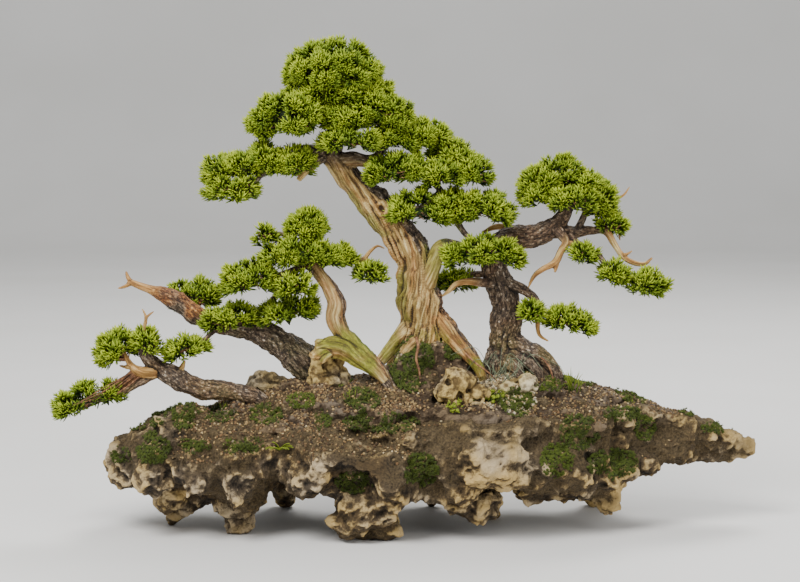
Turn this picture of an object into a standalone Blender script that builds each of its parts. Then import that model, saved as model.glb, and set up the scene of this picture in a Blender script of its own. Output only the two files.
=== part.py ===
"""Juniper grove on a rock slab.

Five bonsai junipers rooted in one soil mound on a craggy stone slab, which stands on its own stone feet.
Each juniper's wood, with its bare dead branches, is one solid, and every foliage pad, stone and moss
cushion is its own solid. Frame: metres, +Z up, +X to the right, -Y to the front, and the origin under
the middle of the grove on the surface that the slab stands on.

The shapes are drawn in millimetres at the drawing's own size, in which the slab is DRAWN_SLAB long, deep
and thick. The driving sizes below stretch the drawing.
"""

import math

import bmesh
import bpy
from mathutils import Euler, Matrix, Vector
from mathutils.bvhtree import BVHTree

MM = 0.001

# Driving sizes, in millimetres
SLAB_LENGTH = 724.0
SLAB_DEPTH = 250.0
SLAB_THICKNESS = 105.0
FOOT_HEIGHT = 42.0
SOIL_DEPTH = 26.0
GROVE_HEIGHT = 376.0
TRUNK_GIRTH = 38.0
PAD_SPREAD = 57.0
PAD_HEIGHT = 38.0
PAD_UNDERSIDE = 0.5
STONE_SIZE = 27.0
MOSS_SIZE = 22.0
CLEARANCE = 0.4

# The drawing's own sizes, which the driving sizes are measured against
DRAWN_SLAB = (724.0, 250.0, 105.0)
DRAWN_FOOT = 42.0
DRAWN_SOIL = 26.0
DRAWN_GROVE = 376.0
DRAWN_GIRTH = 38.0
DRAWN_PAD = (57.0, 38.0)
DRAWN_STONE = 27.0
DRAWN_MOSS = 22.0

# How finely the soft natural shapes are divided
ROCK_VOXEL = 12.0
SOIL_VOXEL = 15.0
ROCK_FACES_KEPT = 0.28
SOIL_FACES_KEPT = 0.3
TRUNK_SIDES = 2  # bevel_resolution 2 gives eight sides
TWIG_SIDES = 0  # bevel_resolution 0 gives four sides
TRUNK_LEAST_RADIUS = 7.0

STRETCH_X = SLAB_LENGTH / DRAWN_SLAB[0]
STRETCH_Y = SLAB_DEPTH / DRAWN_SLAB[1]
STRETCH_Z = SLAB_THICKNESS / DRAWN_SLAB[2]
GROWTH = GROVE_HEIGHT / DRAWN_GROVE
GIRTH = TRUNK_GIRTH / DRAWN_GIRTH
SPREAD = PAD_SPREAD / DRAWN_PAD[0]
PAD_RISE = PAD_HEIGHT / DRAWN_PAD[1]

# Materials: colour, roughness
ROCK_LOOK = ("weathered_limestone", (0.36, 0.31, 0.24), 0.9)
SOIL_LOOK = ("muck_and_grit", (0.17, 0.12, 0.08), 0.95)
BARK_LOOK = ("juniper_wood", (0.38, 0.30, 0.22), 0.8)
LEAF_LOOK = ("juniper_foliage", (0.20, 0.36, 0.06), 0.7)
STONE_LOOK = ("pale_tufa", (0.48, 0.39, 0.27), 0.9)
MOSS_LOOK = ("moss", (0.10, 0.20, 0.03), 0.95)

# The slab: lumps of stone as (centre x, y, z), (radius x, y, z)
SLAB_LUMPS = (
    ((-306, -22, 68), (30, 52, 25)),
    ((-282, -30, 84), (36, 58, 26)),
    ((-252, -30, 92), (46, 78, 38)),
    ((-250, 30, 88), (50, 60, 34)),
    ((-185, -20, 92), (72, 102, 46)),
    ((-70, -15, 96), (95, 118, 48)),
    ((-40, -75, 92), (70, 46, 34)),
    ((50, -10, 92), (95, 112, 48)),
    ((75, 40, 88), (95, 78, 44)),
    ((150, 5, 94), (85, 98, 46)),
    ((215, 25, 96), (70, 82, 42)),
    ((270, 25, 96), (52, 58, 32)),
    ((312, 24, 88), (44, 36, 24)),
    ((350, 22, 82), (34, 24, 16)),
    ((378, 20, 76), (17, 16, 10)),
)
# Knobs, ribs and the pale boulder that stand out of the slab's front and underside
KNOB_LUMPS = (
    ((-318, -24, 56), (14, 22, 12)),
    ((-270, -78, 74), (20, 20, 22)),
    ((-222, -94, 72), (18, 18, 26)),
    ((-178, -104, 66), (15, 18, 30)),
    ((-108, -104, 66), (18, 20, 22)),
    ((-62, -122, 94), (26, 14, 16)),
    ((-8, -116, 80), (14, 16, 34)),
    ((92, -100, 84), (40, 28, 27)),
    ((40, -96, 60), (36, 26, 22)),
    ((150, -80, 70), (30, 26, 26)),
    ((196, -50, 60), (24, 30, 26)),
    ((238, -20, 62), (22, 30, 18)),
    ((-120, 96, 84), (50, 24, 28)),
    ((20, 104, 78), (60, 24, 28)),
    ((140, 92, 80), (48, 22, 28)),
    ((-215, 78, 74), (34, 24, 24)),
)
# Feet: (x, y) on the surface, the radius there, and the lumps (dx, dy, z), (radius x, y, z) above it
FEET = (
    ((-263, -8), 15, (((6, -3, 22), (20, 18, 18)), ((24, -8, 38), (30, 28, 20)))),
    ((-184, -50), 18, (((2, -2, 26), (24, 23, 24)), ((8, -6, 48), (30, 28, 26)))),
    ((-32, -74), 22, (((-6, 0, 28), (40, 28, 22)), ((-6, 0, 50), (42, 32, 26)))),
    ((98, 30), 15, (((-10, -4, 20), (24, 20, 17)), ((-26, -10, 34), (34, 30, 20)))),
    ((216, 98), 15, (((2, -4, 26), (20, 20, 28)), ((0, -10, 48), (26, 26, 28)))),
    ((-140, 88), 14, (((2, -4, 26), (20, 19, 26)), ((4, -8, 48), (26, 26, 24)))),
    ((30, 96), 13, (((0, -4, 24), (18, 18, 26)), ((0, -10, 46), (26, 26, 24)))),
)
FOOT_SINK = 20.0  # how far the feet's lumps reach under the surface, before they are cut flat

# The soil: a mound along the slab's crest, raised under the tallest tree
SOIL_LUMPS = (
    ((-205, 0, 102), (58, 66, 32)),
    ((-150, -10, 112), (70, 76, 40)),
    ((-88, -6, 122), (74, 84, 46)),
    ((0, 0, 124), (80, 88, 44)),
    ((-30, -36, 132), (46, 44, 40)),
    ((22, -6, 150), (50, 46, 46)),
    ((34, 10, 138), (68, 62, 50)),
    ((105, 5, 124), (74, 80, 42)),
    ((165, 10, 120), (72, 74, 42)),
    ((225, 18, 112), (58, 58, 34)),
    ((275, 22, 104), (42, 40, 28)),
)

# Accent stones: name, (x, y) on the ground, how far the middle stands over it, radii, how rough, and holes
# to bore through from the front as (dx, dz, radius)
STONES = (
    ("holed_stone", (62, -58), 10, (31, 15, 23), 7, ((-5, 7, 4.6), (12, 4, 3.6))),
    ("grey_stone", (-148, 4), 3, (29, 18, 20), 8, ()),
    ("split_stone", (-84, -34), 8, (23, 15, 24), 9, ()),
    ("white_stone", (126, -36), 3, (25, 14, 16), 7, ()),
)

# The bed that the soil lies in: an oval sunk flat into the top of the slab
BED_MIDDLE = (30, 0)
BED_RADII = (268, 84)
BED_FLOOR = 106.0
BED_SIDES = 40

# Moss cushions: name, whether they are dropped from above or pushed in from the front, place, radii
MOSS = (
    ("left_moss", "front", (-246, 112), (24, 16, 20)),
    ("middle_moss", "front", (-30, 116), (46, 15, 12)),
    ("hollow_moss", "front", (24, 62), (18, 14, 20)),
    ("ledge_moss", "front", (214, 66), (26, 14, 13)),
    ("crest_moss", "above", (170, -30), (36, 20, 10)),
    ("far_moss", "above", (246, 2), (32, 18, 10)),
)

# Trees. collar is the drawn height of the ground where the tree stands at base. Each limb is a run of
# (x, y, z, radius) points; the first is the trunk, and the others start inside the limb that bears them.
MAIN_TREE = dict(
    name="main_tree",
    base=(24, 4),
    collar=196,
    limbs=(
        ((24, 4, 192, 30), (22, 3, 210, 29), (18, 0, 232, 25), (15, -2, 256, 22), (12, -4, 283, 19.5),
         (7, -4, 306, 18), (-7, -2, 329, 18.5), (-25, 0, 352, 17.5), (-43, 3, 371, 14.5),
         (-62, 3, 391, 12.5), (-75, 2, 407, 11.5), (-85, 0, 418, 9.5)),
        ((-80, 2, 412, 9), (-75, 4, 429, 8), (-68, 8, 444, 7), (-75, 9, 462, 6.5), (-68, 6, 482, 5.5),
         (-75, 3, 501, 4.5), (-82, 0, 515, 3)),
        ((-82, 0, 415, 8), (-106, -5, 421, 7), (-124, -10, 418, 5.5), (-146, -12, 409, 4.5),
         (-168, -12, 401, 3.5), (-190, -8, 400, 2.6)),
        ((-146, -12, 408, 3.4), (-160, -16, 392, 3), (-182, -18, 382, 2.4)),
        ((-90, -3, 413, 5.5), (-104, -10, 403, 4.8), (-117, -15, 389, 2.8)),
        ((-74, 0, 409, 9), (-56, -4, 411, 8), (-35, -2, 410, 6.5), (-23, 4, 426, 5), (-9, 8, 431, 4.6),
         (7, 8, 423, 4.5), (16, 6, 407, 4.3), (25, 3, 391, 4.2), (38, 0, 377, 4), (47, -6, 362, 3.8),
         (54, -12, 346, 3.5), (64, -20, 331, 3), (80, -24, 318, 2.4)),
        ((5, 8, 424, 3.2), (26, 10, 432, 3), (48, 8, 420, 2.4), (68, 4, 406, 2)),
        ((15, 6, 408, 3), (0, -8, 399, 3), (-22, -16, 397, 2.2)),
        ((25, 3, 391, 3), (44, -8, 393, 2.6), (70, -8, 396, 2)),
        ((46, -5, 363, 3), (74, -10, 356, 3), (100, -12, 358, 2.2)),
        ((38, 0, 377, 3), (18, -14, 360, 2.8), (-8, -16, 360, 2)),
        ((16, -10, 262, 9), (26, -14, 286, 8.5), (32, -14, 302, 7), (35, -14, 315, 6.2), (44, -16, 321, 5),
         (62, -20, 318, 3.6), (92, -24, 312, 2.4)),
        ((-74, 9, 460, 4.5), (-98, -4, 457, 3.6), (-126, -10, 455, 2.6), (-152, -10, 452, 2)),
        ((-69, 7, 478, 4), (-46, 0, 467, 3), (-22, -5, 463, 2.4)),
        ((-68, 8, 443, 4), (-62, -16, 430, 3), (-48, -26, 430, 2.2)),
        ((-74, 9, 458, 4), (-62, 36, 454, 3), (-44, 58, 452, 2.2)),
        ((24, 0, 216, 16), (45, -10, 220, 11.5), (62, -16, 204, 8.5), (76, -22, 190, 6.5), (86, -26, 172, 5)),
        ((16, 0, 218, 14), (-3, -8, 217, 9.5), (-17, -12, 203, 7), (-32, -18, 186, 5)),
        ((17, -10, 216, 10), (3, -22, 208, 6.5), (-10, -30, 192, 4.5)),
        ((24, 10, 214, 13), (38, 34, 198, 8.5), (50, 50, 174, 5.5)),
        ((14, 10, 214, 11), (-6, 34, 194, 7.5), (-20, 48, 172, 5)),
    ),
)
MIDDLE_TREE = dict(
    name="middle_tree",
    base=(-26, -50),
    collar=172,
    limbs=(
        ((-13, -52, 166, 5.5), (-26, -50, 184, 6), (-40, -48, 199, 6.6), (-55, -46, 213, 7.2),
         (-69, -44, 227, 8.8), (-76, -42, 242, 9.6), (-75, -40, 257, 9), (-81, -38, 270, 8),
         (-89, -36, 283, 7), (-98, -34, 294, 6), (-110, -32, 302, 5), (-120, -30, 312, 4.2),
         (-123, -30, 325, 3.6), (-117, -29, 338, 2.8), (-106, -28, 346, 2.2)),
        ((-16, -54, 168, 4.5), (-31, -55, 184, 6), (-48, -54, 197, 8.2), (-66, -50, 209, 9.8),
         (-81, -52, 212, 9.6), (-96, -54, 210, 7)),
        ((-106, -33, 300, 4), (-128, -38, 291, 3.6), (-150, -42, 286, 3), (-172, -43, 286, 2.4)),
        ((-122, -30, 328, 2.6), (-139, -32, 333, 2.2), (-152, -33, 330, 1.8)),
        ((-97, -34, 294, 3.8), (-86, -30, 301, 3.4), (-67, -28, 304, 2.9), (-48, -28, 304, 2.5),
         (-39, -28, 313, 2), (-31, -28, 319, 1.7), (-23, -28, 316, 1.4)),
        ((-100, -34, 296, 3.2), (-108, -46, 284, 2.6), (-118, -52, 277, 2)),
    ),
)
LEANING_TREE = dict(
    name="leaning_tree",
    base=(-104, -8),
    collar=168,
    limbs=(
        ((-92, -6, 156, 17), (-102, -8, 174, 17), (-117, -10, 189, 17), (-133, -10, 202, 16),
         (-150, -10, 213, 14.5), (-169, -10, 221, 12.5), (-191, -10, 225, 11), (-213, -10, 229, 10),
         (-232, -10, 238, 10.2), (-250, -8, 251, 10.4), (-267, -6, 259, 8.5), (-280, -6, 264, 4.8),
         (-291, -6, 268, 4), (-303, -6, 273, 3.6)),
        ((-301, -6, 272, 3), (-305, -6, 278, 2.6), (-307, -6, 285, 1.8)),
        ((-301, -6, 272, 2.8), (-309, -8, 268, 2.4), (-316, -9, 266, 1.8)),
        ((-163, -12, 226, 6), (-166, -15, 238, 4.4), (-156, -18, 245, 3.8), (-146, -16, 254, 3.2),
         (-139, -14, 264, 2.4)),
        ((-156, -18, 245, 3.2), (-140, -22, 243, 2.8), (-118, -25, 244, 2)),
        ((-238, -8, 243, 4.5), (-228, 12, 248, 3.4), (-222, 24, 251, 2.4)),
        ((-205, -14, 225, 4.4), (-213, -27, 218, 3.2), (-224, -35, 209, 2.7), (-240, -39, 204, 2)),
        ((-98, -14, 178, 10), (-88, -28, 168, 7), (-80, -38, 156, 5)),
    ),
)
CASCADE_TREE = dict(
    name="cascade_tree",
    base=(-160, -42),
    collar=148,
    limbs=(
        ((-146, -38, 136, 8.5), (-160, -40, 149, 8.5), (-178, -42, 156, 9.2), (-199, -42, 159, 9.8),
         (-219, -42, 160, 10.6), (-236, -42, 166, 11), (-252, -42, 174, 10.6), (-268, -42, 183, 9.6),
         (-280, -42, 194, 8), (-285, -42, 205, 6.6), (-289, -43, 214, 4.4), (-298, -44, 220, 3)),
        ((-246, -42, 176, 4), (-243, -42, 184, 3.4), (-240, -42, 191, 2.6)),
        ((-272, -46, 180, 6.5), (-286, -48, 180, 5.6), (-296, -50, 186, 3.8), (-302, -50, 196, 2.7),
         (-304, -50, 203, 1.8)),
        ((-295, -50, 185, 2.8), (-303, -52, 186, 2.3), (-310, -53, 188, 1.5)),
        ((-272, -44, 178, 5), (-290, -46, 167, 3.8), (-309, -48, 157, 3.2), (-331, -48, 149, 2.6),
         (-354, -47, 145, 2)),
        ((-286, -42, 208, 3.6), (-284, -40, 226, 2.6), (-282, -38, 238, 2.1), (-286, -38, 248, 1.4)),
        ((-283, -39, 236, 1.9), (-279, -38, 241, 1.7), (-273, -38, 245, 1.3)),
    ),
)
RIGHT_TREE = dict(
    name="right_tree",
    base=(109, 5),
    collar=170,
    limbs=(
        ((109, 5, 166, 22), (109, 5, 188, 20), (109, 4, 212, 17.5), (111, 4, 236, 16), (110, 4, 254, 15.5),
         (104, 4, 271, 15), (98, 5, 287, 14.5), (96, 7, 303, 13.5), (102, 10, 317, 13), (117, 12, 324, 12.5),
         (136, 10, 325, 12.5), (154, 8, 331, 12), (167, 6, 341, 9.5), (176, 5, 354, 7.5),
         (181, 5, 369, 6), (178, 4, 384, 4.6), (170, 4, 396, 3.2)),
        ((156, 8, 330, 8.5), (185, 4, 330, 6.5), (202, 2, 332, 5), (219, 0, 331, 4), (228, -2, 318, 3.3),
         (237, -4, 305, 2.9), (248, -5, 298, 2.5), (261, -5, 296, 2.1), (270, -5, 303, 1.5)),
        ((236, -4, 306, 2.4), (242, -6, 307, 2), (248, -8, 311, 1.5)),
        ((217, 0, 331, 3), (226, 2, 335, 2.6), (233, 2, 332, 2.2), (235, 2, 321, 1.5)),
        ((187, 4, 331, 4.6), (193, 4, 343, 3.9), (199, 4, 355, 3.2), (213, 4, 362, 2.6),
         (227, 2, 366, 2.1), (238, 0, 371, 1.8), (245, 0, 381, 1.3)),
        ((178, -4, 327, 4.4), (191, -14, 316, 3.8), (209, -18, 307, 3.4), (220, -21, 294, 3),
         (240, -21, 283, 2.5), (264, -21, 276, 2)),
        ((166, -2, 334, 6), (175, -12, 321, 4.6), (169, -16, 310, 4), (163, -18, 299, 3.7),
         (149, -20, 292, 3.1), (139, -20, 284, 2.5), (133, -20, 271, 1.5)),
        ((164, -18, 301, 3), (164, -19, 295, 2.6), (162, -20, 288, 2)),
        ((174, -12, 322, 3.4), (180, -14, 319, 2.8), (187, -16, 314, 2)),
        ((136, 12, 328, 5), (120, 24, 333, 3.8), (100, 31, 334, 3.3), (84, 33, 327, 2.3)),
        ((98, -4, 273, 6), (74, -8, 277, 4.4), (56, -10, 275, 3.7), (47, -12, 267, 2.9), (39, -12, 261, 1.6)),
        ((96, 12, 283, 5), (72, 30, 281, 3.2), (56, 36, 276, 2.2)),
        ((106, -2, 277, 7), (121, -6, 272, 6), (132, -8, 266, 5.5), (142, -10, 257, 4.7),
         (147, -11, 247, 3.7), (159, -12, 237, 2.9), (178, -13, 232, 2.2)),
        ((146, -11, 250, 3.2), (144, -14, 232, 2.6), (146, -16, 219, 2.2), (156, -16, 212, 1.4)),
        ((113, 2, 204, 14), (131, -4, 201, 9.5), (147, -6, 199, 7.4), (158, -8, 192, 6.2),
         (165, -10, 177, 5), (168, -10, 162, 4)),
        ((118, -4, 196, 9), (138, -14, 191, 5.6), (146, -17, 178, 4.4), (148, -18, 163, 3.4)),
        ((104, 2, 196, 13), (91, 3, 180, 8.5), (82, 6, 162, 5.5)),
        ((113, 14, 196, 12), (126, 34, 176, 7), (132, 44, 158, 4.5)),
    ),
)
TREES = (MAIN_TREE, MIDDLE_TREE, LEANING_TREE, CASCADE_TREE, RIGHT_TREE)

# Foliage pads by tree: name, centre, radii (x, y, upward) and how far the pad dips to the right, in degrees
PADS = {
    "main_tree": (
        ("main_crown_top", (-77, 2, 503), (57, 50, 38), 0),
        ("main_crown_left", (-124, -14, 455), (50, 40, 32), -6),
        ("main_crown_right", (-30, -8, 461), (40, 36, 25), 10),
        ("main_crown_front", (-62, -32, 431), (34, 24, 18), 0),
        ("main_crown_back", (-45, 64, 455), (44, 34, 28), 0),
        ("main_right_shoulder", (8, 10, 436), (30, 30, 20), 12),
        ("main_right_slope", (46, 10, 414), (25, 27, 19), 25),
        ("main_inner_right", (-14, -20, 396), (31, 27, 23), 0),
        ("main_outer_right", (40, -20, 393), (23, 23, 19), 0),
        ("main_far_right", (75, -6, 395), (21, 26, 19), 12),
        ("main_hanging_inner", (14, -16, 353), (40, 32, 24), 0),
        ("main_hanging_outer", (84, -10, 354), (36, 32, 24), 0),
        ("main_lowest", (86, -28, 308), (49, 34, 22), 0),
        ("main_left_near", (-117, -14, 405), (19, 22, 21), 0),
        ("main_left_upper", (-155, -8, 407), (27, 27, 22), 0),
        ("main_left_far", (-199, -6, 399), (24, 27, 17), -8),
        ("main_left_low", (-187, -22, 378), (33, 26, 15), 0),
    ),
    "middle_tree": (
        ("middle_top", (-107, -28, 342), (26, 25, 17), 0),
        ("middle_twig", (-152, -34, 331), (12, 14, 10), 0),
        ("middle_upper", (-110, -46, 313), (32, 25, 18), 0),
        ("middle_left", (-170, -44, 281), (32, 30, 24), -6),
        ("middle_low", (-120, -54, 277), (22, 19, 16), 0),
        ("middle_right", (-68, -30, 309), (15, 18, 11), 12),
        ("middle_far_right", (-38, -36, 290), (19, 18, 10), 6),
    ),
    "leaning_tree": (
        ("leaning_back", (-233, 27, 251), (36, 29, 22), 0),
        ("leaning_middle", (-193, -24, 235), (33, 23, 15), -8),
        ("leaning_right", (-128, -26, 243), (37, 27, 16), -8),
        ("leaning_low", (-240, -40, 204), (27, 21, 12), -12),
    ),
    "cascade_tree": (
        ("cascade_top_left", (-312, -44, 204), (26, 27, 21), -22),
        ("cascade_top_right", (-282, -48, 213), (17, 21, 15), 14),
        ("cascade_tail", (-345, -46, 151), (46, 26, 12), -17),
    ),
    "right_tree": (
        ("right_crown_top", (169, 4, 387), (29, 27, 27), 0),
        ("right_crown_left", (146, 0, 372), (23, 25, 16), -8),
        ("right_crown_front", (182, -22, 366), (29, 17, 13), 0),
        ("right_crown_right", (210, 4, 367), (24, 25, 20), 18),
        ("right_tip", (226, 2, 339), (17, 19, 11), 12),
        ("right_under", (195, -22, 310), (17, 17, 10), 8),
        ("right_hanging_near", (226, -24, 287), (19, 21, 14), 12),
        ("right_hanging_far", (263, -22, 275), (25, 23, 16), 20),
        ("right_low_near", (138, -24, 246), (15, 15, 9), 16),
        ("right_low_far", (181, -14, 233), (31, 23, 15), 12),
        ("right_back_left", (58, 36, 272), (25, 19, 14), 0),
    ),
}


def clear_scene():
    for old in list(bpy.data.objects):
        bpy.data.objects.remove(old)


def collection(name, hidden=False):
    made = bpy.data.collections.new(name)
    made.hide_render = hidden
    bpy.context.scene.collection.children.link(made)
    return made


def material(look):
    name, colour, roughness = look
    found = bpy.data.materials.get(name)
    if found:
        return found
    made = bpy.data.materials.new(name)
    made.use_nodes = True
    shader = made.node_tree.nodes["Principled BSDF"]
    shader.inputs["Base Color"].default_value = (*colour, 1)
    shader.inputs["Roughness"].default_value = roughness
    made.diffuse_color = (*colour, 1)
    return made


def new_object(name, mesh, home, look=None):
    made = bpy.data.objects.new(name, mesh)
    home.objects.link(made)
    if look:
        mesh.materials.append(material(look))
    return made


def hide(cutter):
    cutter.hide_render = True
    cutter.display_type = "WIRE"


def slab_place(x, y, z):
    """A drawn point of the slab, stretched to its real size. Below the underside, only the feet stretch."""
    if z < DRAWN_FOOT:
        up = z * FOOT_HEIGHT / DRAWN_FOOT
    else:
        up = FOOT_HEIGHT + (z - DRAWN_FOOT) * STRETCH_Z
    return Vector((x * STRETCH_X, y * STRETCH_Y, up)) * MM


def slab_radii(rx, ry, rz):
    return Vector((rx * STRETCH_X, ry * STRETCH_Y, rz * STRETCH_Z)) * MM


def lump_mesh(name, lumps):
    """Overlapping round lumps in one mesh, which a Remesh then makes one skin. Each is (centre, radii)."""
    made = bmesh.new()
    for centre, radii in lumps:
        place = Matrix.LocRotScale(centre, None, radii)
        bmesh.ops.create_icosphere(made, subdivisions=3, radius=1, matrix=place)
    mesh = bpy.data.meshes.new(name)
    made.to_mesh(mesh)
    made.free()
    return mesh


def fuse(body, voxel, kept, rough, grain, seed_shift):
    """Joins a body's lumps into one weathered skin: remeshed, smoothed, roughened and thinned."""
    skin = body.modifiers.new("one_skin", "REMESH")
    skin.mode = "VOXEL"
    skin.voxel_size = voxel * MM
    ease = body.modifiers.new("ease", "SMOOTH")
    ease.factor = 0.5
    ease.iterations = 2
    pattern = bpy.data.textures.new(body.name + "_weathering", "CLOUDS")
    pattern.noise_scale = grain * MM
    pattern.noise_depth = 2
    guide = bpy.data.objects.new(body.name + "_weathering_guide", None)
    guide.location = Vector((seed_shift, -seed_shift, seed_shift)) * MM
    bpy.context.scene.collection.objects.link(guide)
    weather = body.modifiers.new("weathering", "DISPLACE")
    weather.texture = pattern
    weather.texture_coords = "OBJECT"
    weather.texture_coords_object = guide
    weather.strength = rough * MM
    weather.mid_level = 0.5
    clean = body.modifiers.new("clean_skin", "REMESH")
    clean.mode = "VOXEL"
    clean.voxel_size = voxel * MM
    settle = body.modifiers.new("settle", "SMOOTH")
    settle.factor = 0.5
    settle.iterations = 1
    thin = body.modifiers.new("thin", "DECIMATE")
    thin.ratio = kept


def cut(body, cutter, name):
    knife = body.modifiers.new(name, "BOOLEAN")
    knife.operation = "DIFFERENCE"
    knife.solver = "EXACT"
    knife.object = cutter


def keep_inside(body, mould, name):
    knife = body.modifiers.new(name, "BOOLEAN")
    knife.operation = "INTERSECT"
    knife.solver = "EXACT"
    knife.object = mould


def world_box(body):
    corners = [body.matrix_world @ Vector(c) for c in body.bound_box]
    low = Vector([min(c[i] for c in corners) for i in range(3)])
    high = Vector([max(c[i] for c in corners) for i in range(3)])
    return low, high


def may_touch(one, other):
    bpy.context.view_layer.update()
    low_a, high_a = world_box(one)
    low_b, high_b = world_box(other)
    return all(low_a[i] <= high_b[i] and low_b[i] <= high_a[i] for i in range(3))


def surface_tree(body):
    bpy.context.view_layer.update()
    return BVHTree.FromObject(body, bpy.context.evaluated_depsgraph_get())


def first_hit(trees, start, way):
    """The nearest point that a ray from start meets on any of the surfaces."""
    hits = [t.ray_cast(start, way) for t in trees]
    met = [h[0] for h in hits if h[0] is not None]
    return min(met, key=lambda p: (p - start).length)


def build_slab(home, tools):
    lumps = [(slab_place(*c), slab_radii(*r)) for c, r in SLAB_LUMPS + KNOB_LUMPS]
    for (x, y), radius, above in FEET:
        sole = (slab_place(x, y, 0), slab_radii(radius, radius, FOOT_SINK))
        lumps.append(sole)
        for (dx, dy, z), radii in above:
            lumps.append((slab_place(x + dx, y + dy, z), slab_radii(*radii)))
    slab = new_object("rock_slab", lump_mesh("rock_slab", lumps), home, ROCK_LOOK)
    fuse(slab, ROCK_VOXEL, ROCK_FACES_KEPT, rough=15, grain=36, seed_shift=0)
    reach = SLAB_LENGTH * MM
    ground = bmesh.new()
    size = Matrix.Diagonal((2 * reach, 2 * reach, reach, 1))
    bmesh.ops.create_cube(ground, size=1, matrix=Matrix.Translation((0, 0, -reach / 2)) @ size)
    mesh = bpy.data.meshes.new("ground_plane")
    ground.to_mesh(mesh)
    ground.free()
    floor = new_object("ground_plane", mesh, tools)
    hide(floor)
    cut(slab, floor, "flat_feet")
    return slab


def bed_prism(name, inset, tools):
    """The oval bed as a solid that reaches up past the mound, smaller all round by inset millimetres."""
    made = bmesh.new()
    bmesh.ops.create_cone(made, cap_ends=True, segments=BED_SIDES, radius1=1, radius2=1, depth=1)
    size = slab_radii(*BED_RADII, 0)
    floor = slab_place(*BED_MIDDLE, BED_FLOOR) + Vector((0, 0, inset * MM))
    rise = GROVE_HEIGHT * MM
    for corner in made.verts:
        corner.co.x = floor.x + corner.co.x * (size.x - inset * MM)
        corner.co.y = floor.y + corner.co.y * (size.y - inset * MM)
        corner.co.z = floor.z + (corner.co.z + 0.5) * rise
    mesh = bpy.data.meshes.new(name)
    made.to_mesh(mesh)
    made.free()
    prism = new_object(name, mesh, tools)
    hide(prism)
    return prism


def build_soil(home, tools):
    lift = SOIL_DEPTH - DRAWN_SOIL
    lumps = [
        (slab_place(x, y, z) + Vector((0, 0, lift * MM)), slab_radii(*radii))
        for (x, y, z), radii in SOIL_LUMPS
    ]
    soil = new_object("soil_mound", lump_mesh("soil_mound", lumps), home, SOIL_LOOK)
    fuse(soil, SOIL_VOXEL, SOIL_FACES_KEPT, rough=5, grain=22, seed_shift=140)
    keep_inside(soil, bed_prism("soil_mould", CLEARANCE, tools), "fills_its_bed")
    return soil


def tube(name, points, home, sides):
    """A closed tapering tube through (place, radius) points, as a mesh."""
    line = bpy.data.curves.new(name, "CURVE")
    line.dimensions = "3D"
    line.bevel_depth = 1.0
    line.bevel_resolution = sides
    line.use_fill_caps = True
    run = line.splines.new("POLY")
    run.points.add(len(points) - 1)
    for knot, (place, radius) in zip(run.points, points):
        knot.co = (*place, 1)
        knot.radius = radius
    curve = bpy.data.objects.new(name, line)
    home.objects.link(curve)
    bpy.context.view_layer.update()
    graph = bpy.context.evaluated_depsgraph_get()
    mesh = bpy.data.meshes.new_from_object(curve.evaluated_get(graph), depsgraph=graph)
    bpy.data.objects.remove(curve)
    weld = bmesh.new()
    weld.from_mesh(mesh)
    bmesh.ops.remove_doubles(weld, verts=weld.verts, dist=0.01 * MM)
    weld.to_mesh(mesh)
    weld.free()
    return new_object(name, mesh, home)


def tree_point(tree, ground, x, y, z):
    """A drawn point of a tree, grown from where its base stands on the real soil."""
    base_x, base_y = tree["base"]
    foot = Vector((base_x * STRETCH_X, base_y * STRETCH_Y, 0)) * MM
    reach = Vector((x - base_x, y - base_y, z - tree["collar"])) * (GROWTH * MM)
    return foot + Vector((0, 0, ground)) + reach


def limb_tube(tree, ground, number, tools, swell=0.0):
    """One limb as a tube. With swell it is thicker and longer by that much, as a cutter."""
    drawn = tree["limbs"][number]
    spots = [tree_point(tree, ground, *p[:3]) for p in drawn]
    radii = [(p[3] * GIRTH + swell) * MM for p in drawn]
    if swell:
        spots[0] += (spots[0] - spots[1]).normalized() * swell * MM
        spots[-1] += (spots[-1] - spots[-2]).normalized() * swell * MM
    thick = max(p[3] for p in drawn) >= TRUNK_LEAST_RADIUS
    name = f"{tree['name']}_limb_{number}" + ("_clearance" if swell else "")
    made = tube(name, list(zip(spots, radii)), tools, TRUNK_SIDES if thick else TWIG_SIDES)
    hide(made)
    return made


def build_wood(tree, ground, home, tools):
    """The tree's wood as one solid: its trunk with every limb joined to it."""
    limbs = [limb_tube(tree, ground, i, tools) for i in range(len(tree["limbs"]))]
    wood = new_object(tree["name"] + "_wood", limbs[0].data.copy(), home, BARK_LOOK)
    for limb in limbs[1:]:
        joint = wood.modifiers.new("join_" + limb.name, "BOOLEAN")
        joint.operation = "UNION"
        joint.solver = "EXACT"
        joint.object = limb
    return wood


def pad_mesh(name, radii, swell=0.0):
    """A foliage pad: a dome above its widest level, and a flatter belly below."""
    made = bmesh.new()
    bmesh.ops.create_uvsphere(made, u_segments=10, v_segments=6, radius=1)
    for corner in made.verts:
        up = radii.z if corner.co.z > 0 else radii.z * PAD_UNDERSIDE
        corner.co.x *= radii.x + swell
        corner.co.y *= radii.y + swell
        corner.co.z *= up + swell
    mesh = bpy.data.meshes.new(name)
    made.to_mesh(mesh)
    made.free()
    return mesh


def build_pad(tree, ground, drawn, home, tools):
    """The pad and its hidden swollen copy."""
    name, centre, radii, dip = drawn
    size = Vector((radii[0] * SPREAD, radii[1] * SPREAD, radii[2] * PAD_RISE)) * MM
    place = tree_point(tree, ground, *centre)
    turn = Euler((0, math.radians(dip), 0))
    pad = new_object(name, pad_mesh(name, size), home, LEAF_LOOK)
    shadow = new_object(name + "_clearance", pad_mesh(name, size, CLEARANCE * MM), tools)
    for made in (pad, shadow):
        made.location = place
        made.rotation_euler = turn
    hide(shadow)
    return pad, shadow


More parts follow.
